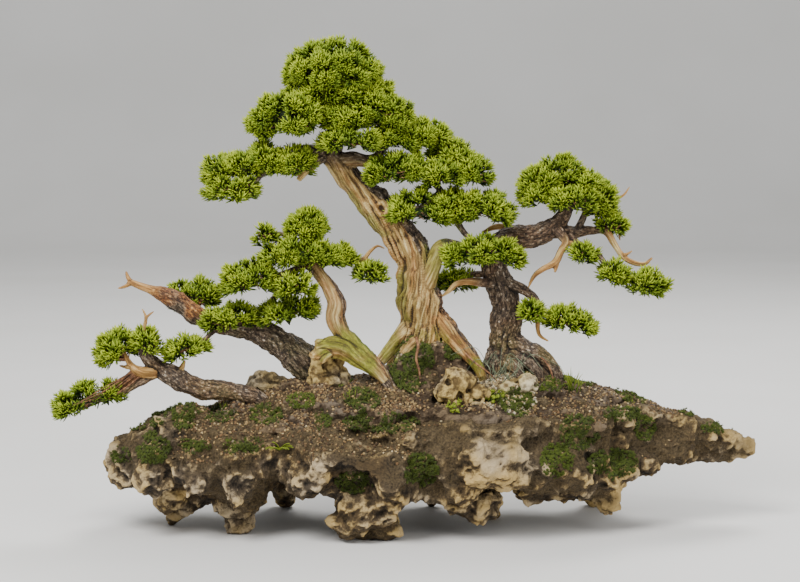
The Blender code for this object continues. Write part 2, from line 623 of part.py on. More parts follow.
def boulder_mesh(name, radii, detail):
    made = bmesh.new()
    size = Matrix.Diagonal((*(Vector(radii) * MM), 1))
    bmesh.ops.create_icosphere(made, subdivisions=detail, radius=1, matrix=size)
    mesh = bpy.data.meshes.new(name)
    made.to_mesh(mesh)
    made.free()
    return mesh


def with_clearance(body, radii, home):
    """A hidden copy of a round body, scaled about its middle to stand CLEARANCE proud of it."""
    made = new_object(body.name + "_clearance", body.data.copy(), home)
    made.location = body.location
    made.scale = [1 + CLEARANCE / min(radii)] * 3
    for step in body.modifiers:
        if step.type == "DISPLACE":
            copied = made.modifiers.new(step.name, "DISPLACE")
            copied.texture = step.texture
            copied.texture_coords = "LOCAL"
            copied.strength = step.strength
            copied.mid_level = step.mid_level
    hide(made)
    return made


def build_stone(drawn, grounds, home, tools):
    """An accent stone, sunk a little into the ground, with its holes bored through from the front."""
    name, (x, y), rise, drawn_radii, rough, holes = drawn
    scale = STONE_SIZE / DRAWN_STONE
    above = slab_place(x, y, 0) + Vector((0, 0, 1))
    middle = first_hit(grounds, above, Vector((0, 0, -1))) + Vector((0, 0, rise * scale * MM))
    radii = [r * scale for r in drawn_radii]
    stone = new_object(name, boulder_mesh(name, radii, 3), home, STONE_LOOK)
    stone.location = middle
    pattern = bpy.data.textures.new(name + "_weathering", "CLOUDS")
    pattern.noise_scale = 0.6 * STONE_SIZE * MM
    pattern.noise_depth = 1
    weather = stone.modifiers.new("weathering", "DISPLACE")
    weather.texture = pattern
    weather.texture_coords = "LOCAL"
    weather.strength = rough * scale * MM
    weather.mid_level = 0.5
    clearance = with_clearance(stone, radii, tools)
    for number, (dx, dz, radius) in enumerate(holes):
        drill = bmesh.new()
        place = Matrix.Translation(middle + Vector((dx, 0, dz)) * (scale * MM))
        bmesh.ops.create_cone(
            drill,
            cap_ends=True,
            segments=10,
            radius1=radius * scale * MM,
            radius2=radius * scale * MM,
            depth=4 * STONE_SIZE * MM,
            matrix=place @ Matrix.Rotation(math.pi / 2, 4, "X"),
        )
        mesh = bpy.data.meshes.new(f"{name}_drill_{number}")
        drill.to_mesh(mesh)
        drill.free()
        bit = new_object(f"{name}_drill_{number}", mesh, tools)
        hide(bit)
        cut(stone, bit, f"hole_{number}")
    return stone, clearance


def build_moss(drawn, grounds, home, tools):
    """A moss cushion, centred on the surface that it grows on."""
    name, way, (across, other), drawn_radii = drawn
    if way == "above":
        start = slab_place(across, other, 0) + Vector((0, 0, 1))
        place = first_hit(grounds, start, Vector((0, 0, -1)))
    else:
        start = slab_place(across, 0, other) + Vector((0, -1, 0))
        place = first_hit(grounds, start, Vector((0, 1, 0)))
    radii = [r * MOSS_SIZE / DRAWN_MOSS for r in drawn_radii]
    cushion = new_object(name, boulder_mesh(name, radii, 2), home, MOSS_LOOK)
    cushion.location = place
    return cushion, with_clearance(cushion, radii, tools)


def cut_where_near(body, cutters):
    for cutter in cutters:
        if may_touch(body, cutter):
            cut(body, cutter, "clear_of_" + cutter.name)


def main():
    clear_scene()
    grove = collection("juniper_grove")
    tools = collection("cutters", hidden=True)

    slab = build_slab(grove, tools)
    soil = build_soil(grove, tools)
    grounds = [surface_tree(slab), surface_tree(soil)]
    stones = [build_stone(drawn, grounds, grove, tools) for drawn in STONES]
    cushions = [build_moss(drawn, grounds, grove, tools) for drawn in MOSS]

    wood_cutters, pads = [], []
    for tree in TREES:
        x, y = tree["base"]
        above = slab_place(x, y, 0) + Vector((0, 0, 1))
        ground = first_hit(grounds, above, Vector((0, 0, -1))).z
        build_wood(tree, ground, grove, tools)
        for number in range(len(tree["limbs"])):
            wood_cutters.append(limb_tube(tree, ground, number, tools, CLEARANCE))
        for drawn in PADS[tree["name"]]:
            pad, shadow = build_pad(tree, ground, drawn, grove, tools)
            cut_where_near(pad, [other for _, other in pads])
            pads.append((pad, shadow))
    for pad, _ in pads:
        cut_where_near(pad, wood_cutters)

    cut(slab, bed_prism("soil_bed", 0, tools), "soil_bed")
    laid = stones + cushions
    for body in (slab, soil):
        cut_where_near(body, [clearance for _, clearance in laid] + wood_cutters)
    for number, (body, _) in enumerate(laid):
        cut_where_near(body, [clearance for _, clearance in laid[:number]] + wood_cutters)


main()
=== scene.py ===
"""Juniper grove on a rock slab: the visual model.

Five bonsai junipers grow in a mossy, gravelled mound on a craggy stone slab that stands on its own feet.
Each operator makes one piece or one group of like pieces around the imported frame, and main() runs them in
order. Sizes are in metres unless a name ends in _MM.
"""

import math

import bpy
import numpy as np
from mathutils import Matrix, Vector, noise
from mathutils.bvhtree import BVHTree


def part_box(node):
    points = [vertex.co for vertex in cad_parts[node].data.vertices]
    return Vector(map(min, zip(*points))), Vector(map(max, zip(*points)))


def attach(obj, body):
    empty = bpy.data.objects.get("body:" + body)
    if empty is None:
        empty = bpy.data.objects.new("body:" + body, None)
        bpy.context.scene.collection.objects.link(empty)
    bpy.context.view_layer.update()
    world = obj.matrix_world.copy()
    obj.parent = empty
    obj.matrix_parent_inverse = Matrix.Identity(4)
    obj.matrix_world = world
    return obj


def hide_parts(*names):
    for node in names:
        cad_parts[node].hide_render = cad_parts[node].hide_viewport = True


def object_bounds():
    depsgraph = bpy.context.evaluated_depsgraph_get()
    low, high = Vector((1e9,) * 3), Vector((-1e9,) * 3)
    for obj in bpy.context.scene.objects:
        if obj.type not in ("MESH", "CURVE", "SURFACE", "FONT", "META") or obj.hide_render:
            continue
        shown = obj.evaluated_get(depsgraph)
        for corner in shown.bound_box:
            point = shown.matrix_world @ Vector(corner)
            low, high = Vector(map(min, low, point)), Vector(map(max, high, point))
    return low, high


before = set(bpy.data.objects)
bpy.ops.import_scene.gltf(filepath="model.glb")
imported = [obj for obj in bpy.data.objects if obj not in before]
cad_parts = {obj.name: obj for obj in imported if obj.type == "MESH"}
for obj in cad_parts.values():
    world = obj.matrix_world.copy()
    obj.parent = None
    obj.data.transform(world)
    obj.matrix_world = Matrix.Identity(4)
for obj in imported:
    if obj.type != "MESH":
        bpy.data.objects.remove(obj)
CAD_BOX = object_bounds()

bl_info = {
    "name": "Juniper Grove",
    "version": (1, 0, 0),
    "blender": (4, 5, 0),
    "location": "View3D > Sidebar > Grove",
    "description": "Builds a bonsai juniper grove on a rock slab",
    "category": "Object",
}

MM = 0.001
BODY = "root"
PALETTE = "OFBake"  # the UV map that the shoots, moss and grit take their colours from
PALETTE_MARGIN = 0.005  # how near the palette's edge a colour may be taken
FROM_ABOVE = (0, 0, -1)
DROP_HEIGHT = 1.0  # how high above the ground things are dropped from
FRONT_TILT = math.radians(6)  # how far the view from the front looks down
FRONT_AWAY = 0.5  # how far in front the things pushed in from there start
FRONT_WAY = (0.0, math.cos(FRONT_TILT), -math.sin(FRONT_TILT))
GOLDEN_ANGLE = 2.39996  # the turn that spreads points evenly round a head
TWIG_LIMBS_ABOVE = 190  # twigs start from limbs that end above this height, in millimetres
LIMB_BATCH = 4096  # points matched to their limbs at a time
WELD_GAP = 0.00005
COARSE = 1.6  # how much coarser the slab's mesh is while it is carved
STONE_FIRST_DETAIL = 0.0011  # mesh spacing of the accent stones while their bores are cut
GRIT_PER_MM2 = 0.085
GRIT_FROM_ABOVE = 2600
MOSS_PER_MM2 = 0.30
MOSS_BED = 0.25  # the share of moss tufts that stand on a grain of their own
INNER_SHOOTS = 0.18  # the share of shoots that fill a pad's inside
STRAND_COUNT = 15
SKIN_MARGIN = 0.004  # how far the slab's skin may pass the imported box
SEEDS = {"grit": 11, "moss": 23, "herbs": 77, "strands": 55, "foliage": 100, "twigs": 300}

# ---------------------------------------------------------------- the trees' limbs
# A limb is (where deadwood starts and is complete, as shares of its length, then its points as x, y, z and
# radius in millimetres). The first limb of each tree is its trunk.
LIVE = (2.0, 3.0)
DEAD = (-1.0, 0.0)

MAIN_LIMBS = (
    (LIVE, ((24, 4, 186, 34), (22, 3, 204, 30), (18, 0, 232, 25), (15, -2, 256, 22), (12, -4, 283, 20),
            (7, -4, 306, 19), (-7, -2, 329, 20), (-25, 0, 352, 18.5), (-43, 3, 371, 15.5),
            (-62, 3, 391, 13), (-75, 2, 407, 12), (-85, 0, 418, 9.5))),
    (LIVE, ((-80, 2, 412, 9), (-75, 4, 429, 8), (-68, 8, 444, 7), (-75, 9, 462, 6.5), (-68, 6, 482, 5.5),
            (-75, 3, 501, 4.5), (-82, 0, 515, 3))),
    (LIVE, ((-82, 0, 415, 8), (-106, -5, 421, 7), (-124, -10, 418, 5.5), (-146, -12, 409, 4.5),
            (-168, -12, 401, 3.5), (-190, -8, 400, 2.6))),
    (LIVE, ((-146, -12, 408, 3.4), (-160, -16, 392, 3), (-182, -18, 382, 2.4))),
    ((0.1, 0.6), ((-90, -3, 413, 5.5), (-104, -10, 403, 4.8), (-117, -15, 389, 2.8))),
    (LIVE, ((-74, 0, 409, 9), (-56, -4, 411, 8), (-35, -2, 410, 6.5), (-23, 4, 426, 5), (-9, 8, 431, 4.6),
            (7, 8, 423, 4.5), (16, 6, 407, 4.3), (25, 3, 391, 4.2), (38, 0, 377, 4), (47, -6, 362, 3.8),
            (54, -12, 346, 3.5), (64, -20, 331, 3), (80, -24, 318, 2.4))),
    (LIVE, ((5, 8, 424, 3.2), (26, 10, 432, 3), (48, 8, 420, 2.4), (68, 4, 406, 2))),
    (LIVE, ((15, 6, 408, 3), (0, -8, 399, 3), (-22, -16, 397, 2.2))),
    (LIVE, ((25, 3, 391, 3), (44, -8, 393, 2.6), (70, -8, 396, 2))),
    (LIVE, ((46, -5, 363, 3), (74, -10, 356, 3), (100, -12, 358, 2.2))),
    (LIVE, ((38, 0, 377, 3), (18, -14, 360, 2.8), (-8, -16, 360, 2))),
    (LIVE, ((16, -10, 262, 10), (26, -14, 286, 9.5), (32, -14, 304, 8.5), (35, -14, 315, 7),
            (44, -16, 321, 5), (62, -20, 318, 3.6), (92, -24, 312, 2.4))),
    (LIVE, ((-74, 9, 460, 4.5), (-98, -4, 457, 3.6), (-126, -10, 455, 2.6), (-152, -10, 452, 2))),
    (LIVE, ((-69, 7, 478, 4), (-46, 0, 467, 3), (-22, -5, 463, 2.4))),
    (LIVE, ((-68, 8, 443, 4), (-62, -16, 430, 3), (-48, -26, 430, 2.2))),
    (LIVE, ((-74, 9, 458, 4), (-62, 36, 454, 3), (-44, 58, 452, 2.2))),
    (LIVE, ((22, 0, 240, 17), (38, -7, 228, 14.5), (52, -12, 214, 11.5), (64, -17, 203, 9), (76, -22, 190, 7),
            (86, -26, 170, 5))),
    (LIVE, ((16, 0, 236, 15), (3, -6, 226, 12.5), (-10, -10, 212, 9.5), (-19, -13, 201, 7.5),
            (-32, -18, 184, 5))),
    (LIVE, ((17, -10, 220, 10), (3, -22, 208, 6.5), (-10, -30, 190, 4.5))),
    (LIVE, ((24, 10, 218, 13), (38, 34, 198, 8.5), (50, 50, 172, 5.5))),
    (LIVE, ((14, 10, 218, 11), (-6, 34, 194, 7.5), (-20, 48, 170, 5))),
)
MIDDLE_LIMBS = (
    (LIVE, ((-13, -52, 164, 5.5), (-26, -50, 184, 6), (-40, -48, 199, 6.6), (-55, -46, 213, 7.4),
            (-69, -44, 227, 9), (-76, -42, 242, 10), (-75, -40, 257, 9.4), (-81, -38, 270, 8.4),
            (-89, -36, 283, 7), (-98, -34, 294, 6), (-110, -32, 302, 5), (-120, -30, 312, 4.2),
            (-123, -30, 325, 3.6), (-117, -29, 338, 2.8), (-106, -28, 346, 2.2))),
    ((0.2, 0.5), ((-16, -54, 166, 4.5), (-31, -55, 184, 6.4), (-48, -54, 197, 8.8), (-66, -50, 209, 10.5),
                  (-81, -52, 212, 10.4), (-97, -54, 209, 7))),
    (DEAD, ((-84, -54, 210, 8), (-94, -57, 205, 6.8), (-101, -59, 204, 3.6), (-104, -59, 206, 1.4))),
    (DEAD, ((-84, -52, 213, 7), (-93, -54, 216, 4.8), (-98, -55, 219, 1.8))),
    (DEAD, ((-82, -55, 208, 6), (-89, -60, 200, 4.6), (-92, -62, 195, 1.8))),
    (LIVE, ((-106, -33, 300, 4), (-128, -38, 291, 3.6), (-150, -42, 286, 3), (-172, -43, 286, 2.4))),
    (LIVE, ((-122, -30, 328, 2.6), (-139, -32, 333, 2.2), (-152, -33, 330, 1.8))),
    ((0.5, 0.75), ((-97, -34, 294, 3.8), (-86, -30, 301, 3.4), (-67, -28, 304, 2.9), (-48, -28, 304, 2.5),
                   (-39, -28, 313, 2), (-31, -28, 319, 1.7), (-23, -28, 316, 1.0))),
    (LIVE, ((-100, -34, 296, 3.2), (-108, -46, 284, 2.6), (-118, -52, 277, 2))),
)
LEANING_LIMBS = (
    ((0.84, 0.9), ((-92, -6, 154, 18), (-102, -8, 174, 18), (-117, -10, 189, 17.5), (-133, -10, 202, 16),
                   (-150, -10, 213, 14.5), (-169, -10, 221, 12.5), (-191, -10, 225, 11), (-213, -10, 229, 10),
                   (-232, -10, 238, 10.2), (-250, -8, 251, 10.4), (-267, -6, 259, 8.5), (-280, -6, 264, 4.8),
                   (-291, -6, 268, 4), (-303, -6, 273, 3.4))),
    (DEAD, ((-301, -6, 272, 3), (-305, -6, 278, 2.4), (-307, -6, 285, 1.0))),
    (DEAD, ((-301, -6, 272, 2.8), (-309, -8, 268, 2.2), (-316, -9, 266, 1.0))),
    (LIVE, ((-163, -12, 226, 6), (-166, -15, 238, 4.4), (-156, -18, 245, 3.8), (-146, -16, 254, 3.2),
            (-139, -14, 264, 2.4))),
    (LIVE, ((-156, -18, 245, 3.2), (-140, -22, 243, 2.8), (-118, -25, 244, 2))),
    (LIVE, ((-238, -8, 243, 4.5), (-228, 12, 248, 3.4), (-222, 24, 251, 2.4))),
    (LIVE, ((-205, -14, 225, 4.4), (-213, -27, 218, 3.2), (-224, -35, 209, 2.7), (-240, -39, 204, 2))),
    (LIVE, ((-98, -14, 178, 10), (-88, -28, 168, 7), (-80, -38, 154, 5))),
)
CASCADE_LIMBS = (
    (LIVE, ((-146, -38, 134, 8.5), (-160, -40, 149, 9), (-178, -42, 156, 9.6), (-199, -42, 159, 10.2),
            (-219, -42, 160, 10.8), (-236, -42, 166, 11.2), (-252, -42, 174, 10.8), (-268, -42, 183, 9.8),
            (-280, -42, 194, 8), (-285, -42, 205, 6.6), (-289, -43, 214, 4.4), (-298, -44, 220, 3))),
    (DEAD, ((-246, -42, 176, 4), (-243, -42, 184, 3.2), (-240, -42, 192, 1.4))),
    (DEAD, ((-272, -46, 180, 6.5), (-286, -48, 180, 5.6), (-296, -50, 186, 3.8), (-302, -50, 196, 2.5),
            (-304, -50, 204, 1.0))),
    (DEAD, ((-295, -50, 185, 2.8), (-303, -52, 186, 2), (-310, -53, 188, 0.9))),
    (LIVE, ((-272, -44, 178, 5), (-290, -46, 167, 3.8), (-309, -48, 157, 3.2), (-331, -48, 149, 2.6),
            (-354, -47, 145, 2))),
    (DEAD, ((-286, -42, 208, 3.6), (-284, -40, 226, 2.4), (-282, -38, 238, 1.8), (-286, -38, 248, 0.8))),
    (DEAD, ((-283, -39, 236, 1.7), (-279, -38, 241, 1.4), (-273, -38, 245, 0.8))),
)
RIGHT_LIMBS = (
    (LIVE, ((109, 5, 160, 25), (109, 5, 184, 21), (109, 4, 212, 18), (111, 4, 236, 16.5), (110, 4, 254, 16),
            (104, 4, 271, 15.5), (98, 5, 287, 14.5), (96, 7, 303, 13.5), (102, 10, 317, 13),
            (117, 12, 324, 12.5), (136, 10, 325, 12.5), (154, 8, 331, 12), (167, 6, 341, 9.5),
            (176, 5, 354, 7.5), (181, 5, 369, 6), (178, 4, 384, 4.6), (170, 4, 396, 3.2))),
    ((0.42, 0.55), ((156, 8, 330, 8.5), (185, 4, 330, 6.5), (202, 2, 332, 5), (219, 0, 331, 4),
                    (228, -2, 318, 3.3), (237, -4, 305, 2.9), (248, -5, 298, 2.5), (261, -5, 296, 2.1),
                    (270, -5, 303, 1.0))),
    (DEAD, ((236, -4, 306, 2.4), (242, -6, 307, 1.8), (248, -8, 311, 0.9))),
    (DEAD, ((217, 0, 331, 3), (226, 2, 335, 2.4), (233, 2, 332, 2), (235, 2, 321, 0.9))),
    ((0.5, 0.7), ((187, 4, 331, 4.6), (193, 4, 343, 3.9), (199, 4, 355, 3.2), (213, 4, 362, 2.6),
                  (227, 2, 366, 2.1), (238, 0, 371, 1.7), (245, 0, 381, 0.8))),
    (LIVE, ((178, -4, 327, 4.4), (191, -14, 316, 3.8), (209, -18, 307, 3.4), (220, -21, 294, 3),
            (240, -21, 283, 2.5), (264, -21, 276, 2))),
    ((0.1, 0.3), ((166, -2, 334, 6), (175, -12, 321, 4.8), (169, -16, 310, 4.2), (163, -18, 299, 3.9),
                  (149, -20, 292, 3.2), (139, -20, 284, 2.4), (133, -20, 271, 1.0))),
    (DEAD, ((164, -18, 301, 3), (164, -19, 295, 2.4), (162, -20, 288, 1.2))),
    (DEAD, ((174, -12, 322, 3.4), (180, -14, 319, 2.6), (187, -16, 314, 1.1))),
    ((0.3, 0.6), ((136, 12, 328, 5), (120, 24, 333, 3.8), (100, 31, 334, 3.3), (84, 33, 327, 1.6))),
    ((0.2, 0.5), ((98, -4, 273, 6), (74, -8, 277, 4.4), (56, -10, 275, 3.7), (47, -12, 267, 2.7),
                  (39, -12, 261, 1.1))),
    (LIVE, ((96, 12, 283, 5), (72, 30, 281, 3.2), (56, 36, 276, 2.2))),
    (LIVE, ((106, -2, 277, 7), (121, -6, 272, 6), (132, -8, 266, 5.5), (142, -10, 257, 4.7),
            (147, -11, 247, 3.7), (159, -12, 237, 2.9), (178, -13, 232, 2.2))),
    ((0.2, 0.5), ((146, -11, 250, 3.2), (144, -14, 232, 2.6), (146, -16, 219, 2), (156, -16, 212, 1.0))),
    (LIVE, ((113, 2, 208, 16), (131, -4, 201, 10.5), (147, -6, 195, 8.2), (158, -8, 187, 6.6),
            (166, -10, 175, 5.4), (170, -10, 160, 4))),
    (LIVE, ((118, -4, 196, 12), (136, -12, 187, 7.4), (145, -17, 177, 5.4), (148, -18, 161, 4))),
    (LIVE, ((114, 2, 188, 14), (132, -2, 182, 10), (148, -4, 176, 8), (158, -6, 166, 6))),
    (LIVE, ((112, -6, 190, 12), (122, -20, 180, 7), (128, -28, 168, 4.4))),
    (LIVE, ((104, 2, 200, 14), (91, 3, 180, 9), (82, 6, 160, 5.5))),
    (LIVE, ((113, 14, 196, 12), (126, 34, 176, 7), (132, 44, 156, 4.5))),
)
# Each tree: its limbs, how far it is raised in millimetres (below zero, lowered), how much of its trunk is
# bare striped deadwood, how red its bark is, its share of green algae low down, and its knots as x, z and
# size in millimetres
TREES = {
    "main_tree": dict(limbs=MAIN_LIMBS, lift=-6.3, stripes=0.92, red=0.6, algae=0.7,
                      knots=((-26, 352, 9),)),
    "middle_tree": dict(limbs=MIDDLE_LIMBS, lift=-7.0, stripes=0.75, red=0.15, algae=0.8),
    "leaning_tree": dict(limbs=LEANING_LIMBS, lift=-2.4, stripes=0.0, red=0.9, algae=0.1),
    "cascade_tree": dict(limbs=CASCADE_LIMBS, lift=-3.2, stripes=0.0, red=0.2, algae=0.1),
    "right_tree": dict(limbs=RIGHT_LIMBS, lift=-5.7, stripes=0.0, red=0.15, algae=0.15),
}
# How far a pad dips to the right, in degrees
DIPS = {
    "main_crown_left": -6, "main_crown_right": 10, "main_right_shoulder": 12, "main_right_slope": 25,
    "main_far_right": 12, "main_left_far": -8, "middle_left": -6, "middle_right": 12,
    "middle_far_right": 6, "leaning_middle": -8, "leaning_right": -8, "leaning_low": -12,
    "cascade_top_left": -22, "cascade_top_right": 14, "cascade_tail": -17, "right_crown_left": -8,
    "right_crown_right": 18, "right_tip": 12, "right_under": 8, "right_hanging_near": 12,
    "right_hanging_far": 20, "right_low_near": 16, "right_low_far": 12,
}
PAD_TREES = {"main": "main_tree", "middle": "middle_tree", "leaning": "leaning_tree",
             "cascade": "cascade_tree", "right": "right_tree"}


# ---------------------------------------------------------------- small tools
def linear(code):
    """An sRGB hex colour as a linear RGBA tuple."""
    parts = [int(code[i:i + 2], 16) / 255 for i in (1, 3, 5)]
    return (*[c / 12.92 if c <= 0.04045 else ((c + 0.055) / 1.055) ** 2.4 for c in parts], 1.0)


def add_node(tree, kind, links=None, **settings):
    """Adds a node. settings are its properties or inputs, and links join its inputs to other sockets."""
    made = tree.nodes.new(kind)
    for name, value in settings.items():
        if hasattr(made, name):
            setattr(made, name, value)
        else:
            made.inputs[name.replace("_", " ")].default_value = value
    for name, source in (links or {}).items():
        tree.links.new(source, made.inputs[name])
    return made


def ramp(tree, source, *stops):
    """A colour ramp through (position, hex colour) stops."""
    made = add_node(tree, "ShaderNodeValToRGB", {"Fac": source})
    band = made.color_ramp
    while len(band.elements) < len(stops):
        band.elements.new(0.5)
    for element, (place, code) in zip(band.elements, stops):
        element.position = place
        element.color = linear(code)
    return made.outputs["Color"]


def new_material(name):
    made = bpy.data.materials.new(name)
    made.use_nodes = True
    shader = made.node_tree.nodes["Principled BSDF"]
    return made, made.node_tree, shader


def clear_selection():
    if bpy.context.object and bpy.context.object.mode != "OBJECT":
        bpy.ops.object.mode_set(mode="OBJECT")
    bpy.ops.object.select_all(action="DESELECT")


def make_active(*objects):
    clear_selection()
    for each in objects:
        each.select_set(True)
    bpy.context.view_layer.objects.active = objects[0]


def apply_modifiers(piece):
    make_active(piece)
    for step in list(piece.modifiers):
        bpy.ops.object.modifier_apply(modifier=step.name)


def remesh(piece, size):
    step = piece.modifiers.new("skin", "REMESH")
    step.mode = "VOXEL"
    step.voxel_size = size
    apply_modifiers(piece)


def settle(piece, slot, *nodes):
    """Ties a finished piece to the frame: its body and the CAD nodes it stands for. The material slot
    argument is not used.
    """
    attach(piece, BODY)
    if nodes:
        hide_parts(*nodes)


def mesh_piece(name, points, faces, material, smooth=True):
    """A piece from arrays of points and three-cornered faces."""
    mesh = bpy.data.meshes.new(name)
    mesh.vertices.add(len(points))
    mesh.vertices.foreach_set("co", np.ascontiguousarray(points, dtype=np.float32).ravel())
    mesh.loops.add(len(faces) * 3)
    mesh.loops.foreach_set("vertex_index", np.ascontiguousarray(faces, dtype=np.int32).ravel())
    mesh.polygons.add(len(faces))
    mesh.polygons.foreach_set("loop_start", np.arange(0, len(faces) * 3, 3, dtype=np.int32))
    mesh.polygons.foreach_set("use_smooth", np.full(len(faces), smooth))
    mesh.materials.append(material)
    mesh.update(calc_edges=True)
    piece = bpy.data.objects.new(name, mesh)
    bpy.context.scene.collection.objects.link(piece)
    return piece


def dress(piece, material):
    piece.data.materials.clear()
    piece.data.materials.append(material)


def joined(parts):
    """Several sets of points and faces as one."""
    starts = np.cumsum([0] + [len(points) for points, _ in parts[:-1]])
    points = np.concatenate([points for points, _ in parts])
    return points, np.concatenate([faces + start for (_, faces), start in zip(parts, starts)])


def set_palette(piece, spots, margin=PALETTE_MARGIN):
    """Gives each point of a piece its place on the colour palette."""
    mesh = piece.data
    spots = np.clip(spots, margin, 1 - margin)
    layer = mesh.uv_layers.new(name=PALETTE)
    corners = np.empty(len(mesh.loops), dtype=np.int32)
    mesh.loops.foreach_get("vertex_index", corners)
    layer.data.foreach_set("uv", np.ascontiguousarray(spots[corners], dtype=np.float32).ravel())


def set_attribute(piece, name, values):
    kind = "FLOAT" if values.ndim == 1 else "FLOAT_VECTOR"
    layer = piece.data.attributes.new(name, kind, "POINT")
    layer.data.foreach_set("value" if values.ndim == 1 else "vector", values.astype(np.float32).ravel())


def points_of(piece):
    found = np.empty(len(piece.data.vertices) * 3, dtype=np.float32)
    piece.data.vertices.foreach_get("co", found)
    return found.reshape(-1, 3).astype(float)


def normals_of(piece):
    found = np.empty(len(piece.data.vertices) * 3, dtype=np.float32)
    piece.data.vertices.foreach_get("normal", found)
    return found.reshape(-1, 3).astype(float)


def set_points(piece, points):
    piece.data.vertices.foreach_set("co", points.astype(np.float32).ravel())
    piece.data.update()


def faces_of(piece):
    piece.data.calc_loop_triangles()
    found = np.empty(len(piece.data.loop_triangles) * 3, dtype=np.int32)
    piece.data.loop_triangles.foreach_get("vertices", found)
    return found.reshape(-1, 3)


def unit(vectors):
    return vectors / np.maximum(np.linalg.norm(vectors, axis=-1, keepdims=True), 1e-12)


def fractal(points, size, octaves=3, shift=0.0):
    """Smooth noise from about -1 to 1 at each point, with lumps about that size."""
    return np.array([noise.fractal(p, 1.0, 2.0, octaves) for p in (points / size + shift).tolist()])


def ridges(points, size, octaves=3, shift=0.0):
    """Ridged noise from 0 to about 2."""
    return np.array([
        noise.ridged_multi_fractal(p, 1.0, 2.0, octaves, 1.0, 2.0) for p in (points / size + shift).tolist()
    ])


def cells(points, size, shift=0.0):
    """Distances to the nearest and second nearest cell centres, in cells."""
    found = [noise.voronoi(p)[0][:2] for p in (points / size + shift).tolist()]
    return np.array(found)


def spread(piece, values, rounds):
    """values smoothed over the mesh by averaging each point with its neighbours."""
    mesh = piece.data
    ends = np.empty(len(mesh.edges) * 2, dtype=np.int32)
    mesh.edges.foreach_get("vertices", ends)
    one, other = ends.reshape(-1, 2).T
    count = np.bincount(one, minlength=len(mesh.vertices)) + np.bincount(other, minlength=len(mesh.vertices))
    count = np.maximum(count, 1)
    columns = values.reshape(len(values), -1)
    for _ in range(rounds):
        blurred = np.empty_like(columns)
        for i in range(columns.shape[1]):
            total = np.bincount(one, columns[other, i], len(count))
            total += np.bincount(other, columns[one, i], len(count))
            blurred[:, i] = total / count
        columns = blurred
    return columns.reshape(values.shape)


def reach_from(points, centre, radii):
    """How far each point is from a middle, in shares of the radii round it."""
    return np.linalg.norm((points - np.array(centre)) / radii, axis=1)


def smoothstep(values, low, high):
    t = np.clip((values - low) / (high - low), 0, 1)
    return t * t * (3 - 2 * t)


def frames_along(directions, rng):
    """For each direction, a turn that takes +Z to it, with a random roll."""
    z = unit(directions)
    side = np.where(np.abs(z[:, 2:3]) < 0.9, np.array([[0.0, 0.0, 1.0]]), np.array([[1.0, 0.0, 0.0]]))
    x = unit(np.cross(side, z))
    y = np.cross(z, x)
    roll = rng.uniform(0, 2 * math.pi, len(z))[:, None]
    across = x * np.cos(roll) + y * np.sin(roll)
    return np.stack([across, np.cross(z, across), z], axis=2)


def scatter(template, faces, turns, sizes, places):
    """Copies of a small template mesh, turned, sized and placed, as one set of points and faces."""
    points = np.einsum("nij,nvj->nvi", turns, template[None] * sizes[:, None, None]) + places[:, None]
    shift = (np.arange(len(places)) * len(template))[:, None, None]
    return points.reshape(-1, 3), (faces[None] + shift).reshape(-1, 3)


# ---------------------------------------------------------------- modelled once, then copied
def add_cord(length, radius, place=(0, 0, 0), turn=(0, 0, 0)):
    """One scale-leaved cord: a three-sided shaft, whose top is drawn up to a tip."""
    clear_selection()
    bpy.ops.mesh.primitive_cone_add(
        vertices=3, radius1=radius * 0.8, radius2=radius, depth=0.66 * length, end_fill_type="TRIFAN",
        location=(0, 0, 0.33 * length))
    cord = bpy.context.object
    bpy.ops.object.transform_apply(location=True)
    bpy.ops.object.mode_set(mode="EDIT")
    bpy.ops.mesh.select_all(action="DESELECT")
    bpy.ops.object.mode_set(mode="OBJECT")
    for corner in cord.data.vertices:
        corner.select = corner.co.z > 0.6 * length and corner.co.xy.length < 0.1 * radius
    bpy.ops.object.mode_set(mode="EDIT")
    bpy.ops.transform.translate(value=(0, 0, 0.34 * length))
    bpy.ops.object.mode_set(mode="OBJECT")
    along = points_of(cord)[:, 2] / length
    set_attribute(cord, "along", along)
    cord.location = place
    cord.rotation_euler = turn
    bpy.ops.object.transform_apply(location=True, rotation=True)
    return cord


def model_shoot(length, radius):
    """One juniper shoot: a leading cord with side cords that fan out and turn up. Gives its points, its
    faces and how near each point is to a tip."""
    cords = [add_cord(length, radius)]
    for share, lean, turn, size in (
        (0.04, 40, 15, 0.66), (0.08, 34, 195, 0.72), (0.18, 42, 100, 0.58), (0.26, 36, 285, 0.62),
        (0.38, 33, 50, 0.50), (0.48, 31, 215, 0.44),
    ):
        tilt = (math.radians(lean), 0, math.radians(turn))
        cords.append(add_cord(size * length, radius, (0, 0, share * length), tilt))
    make_active(*cords)
    bpy.ops.object.join()
    shoot = bpy.context.object
    points, faces = points_of(shoot), faces_of(shoot)
    along = np.empty(len(points), dtype=np.float32)
    shoot.data.attributes["along"].data.foreach_get("value", along)
    height = points[:, 2] / length
    bpy.data.objects.remove(shoot)
    return points, faces, 0.45 * along + 0.55 * height


def model_lump(detail=1):
    """One rough grain: a small faceted ball."""
    clear_selection()
    bpy.ops.mesh.primitive_ico_sphere_add(subdivisions=detail, radius=1)
    grain = bpy.context.object
    points, faces = points_of(grain), faces_of(grain)
    bpy.data.objects.remove(grain)
    return points, faces


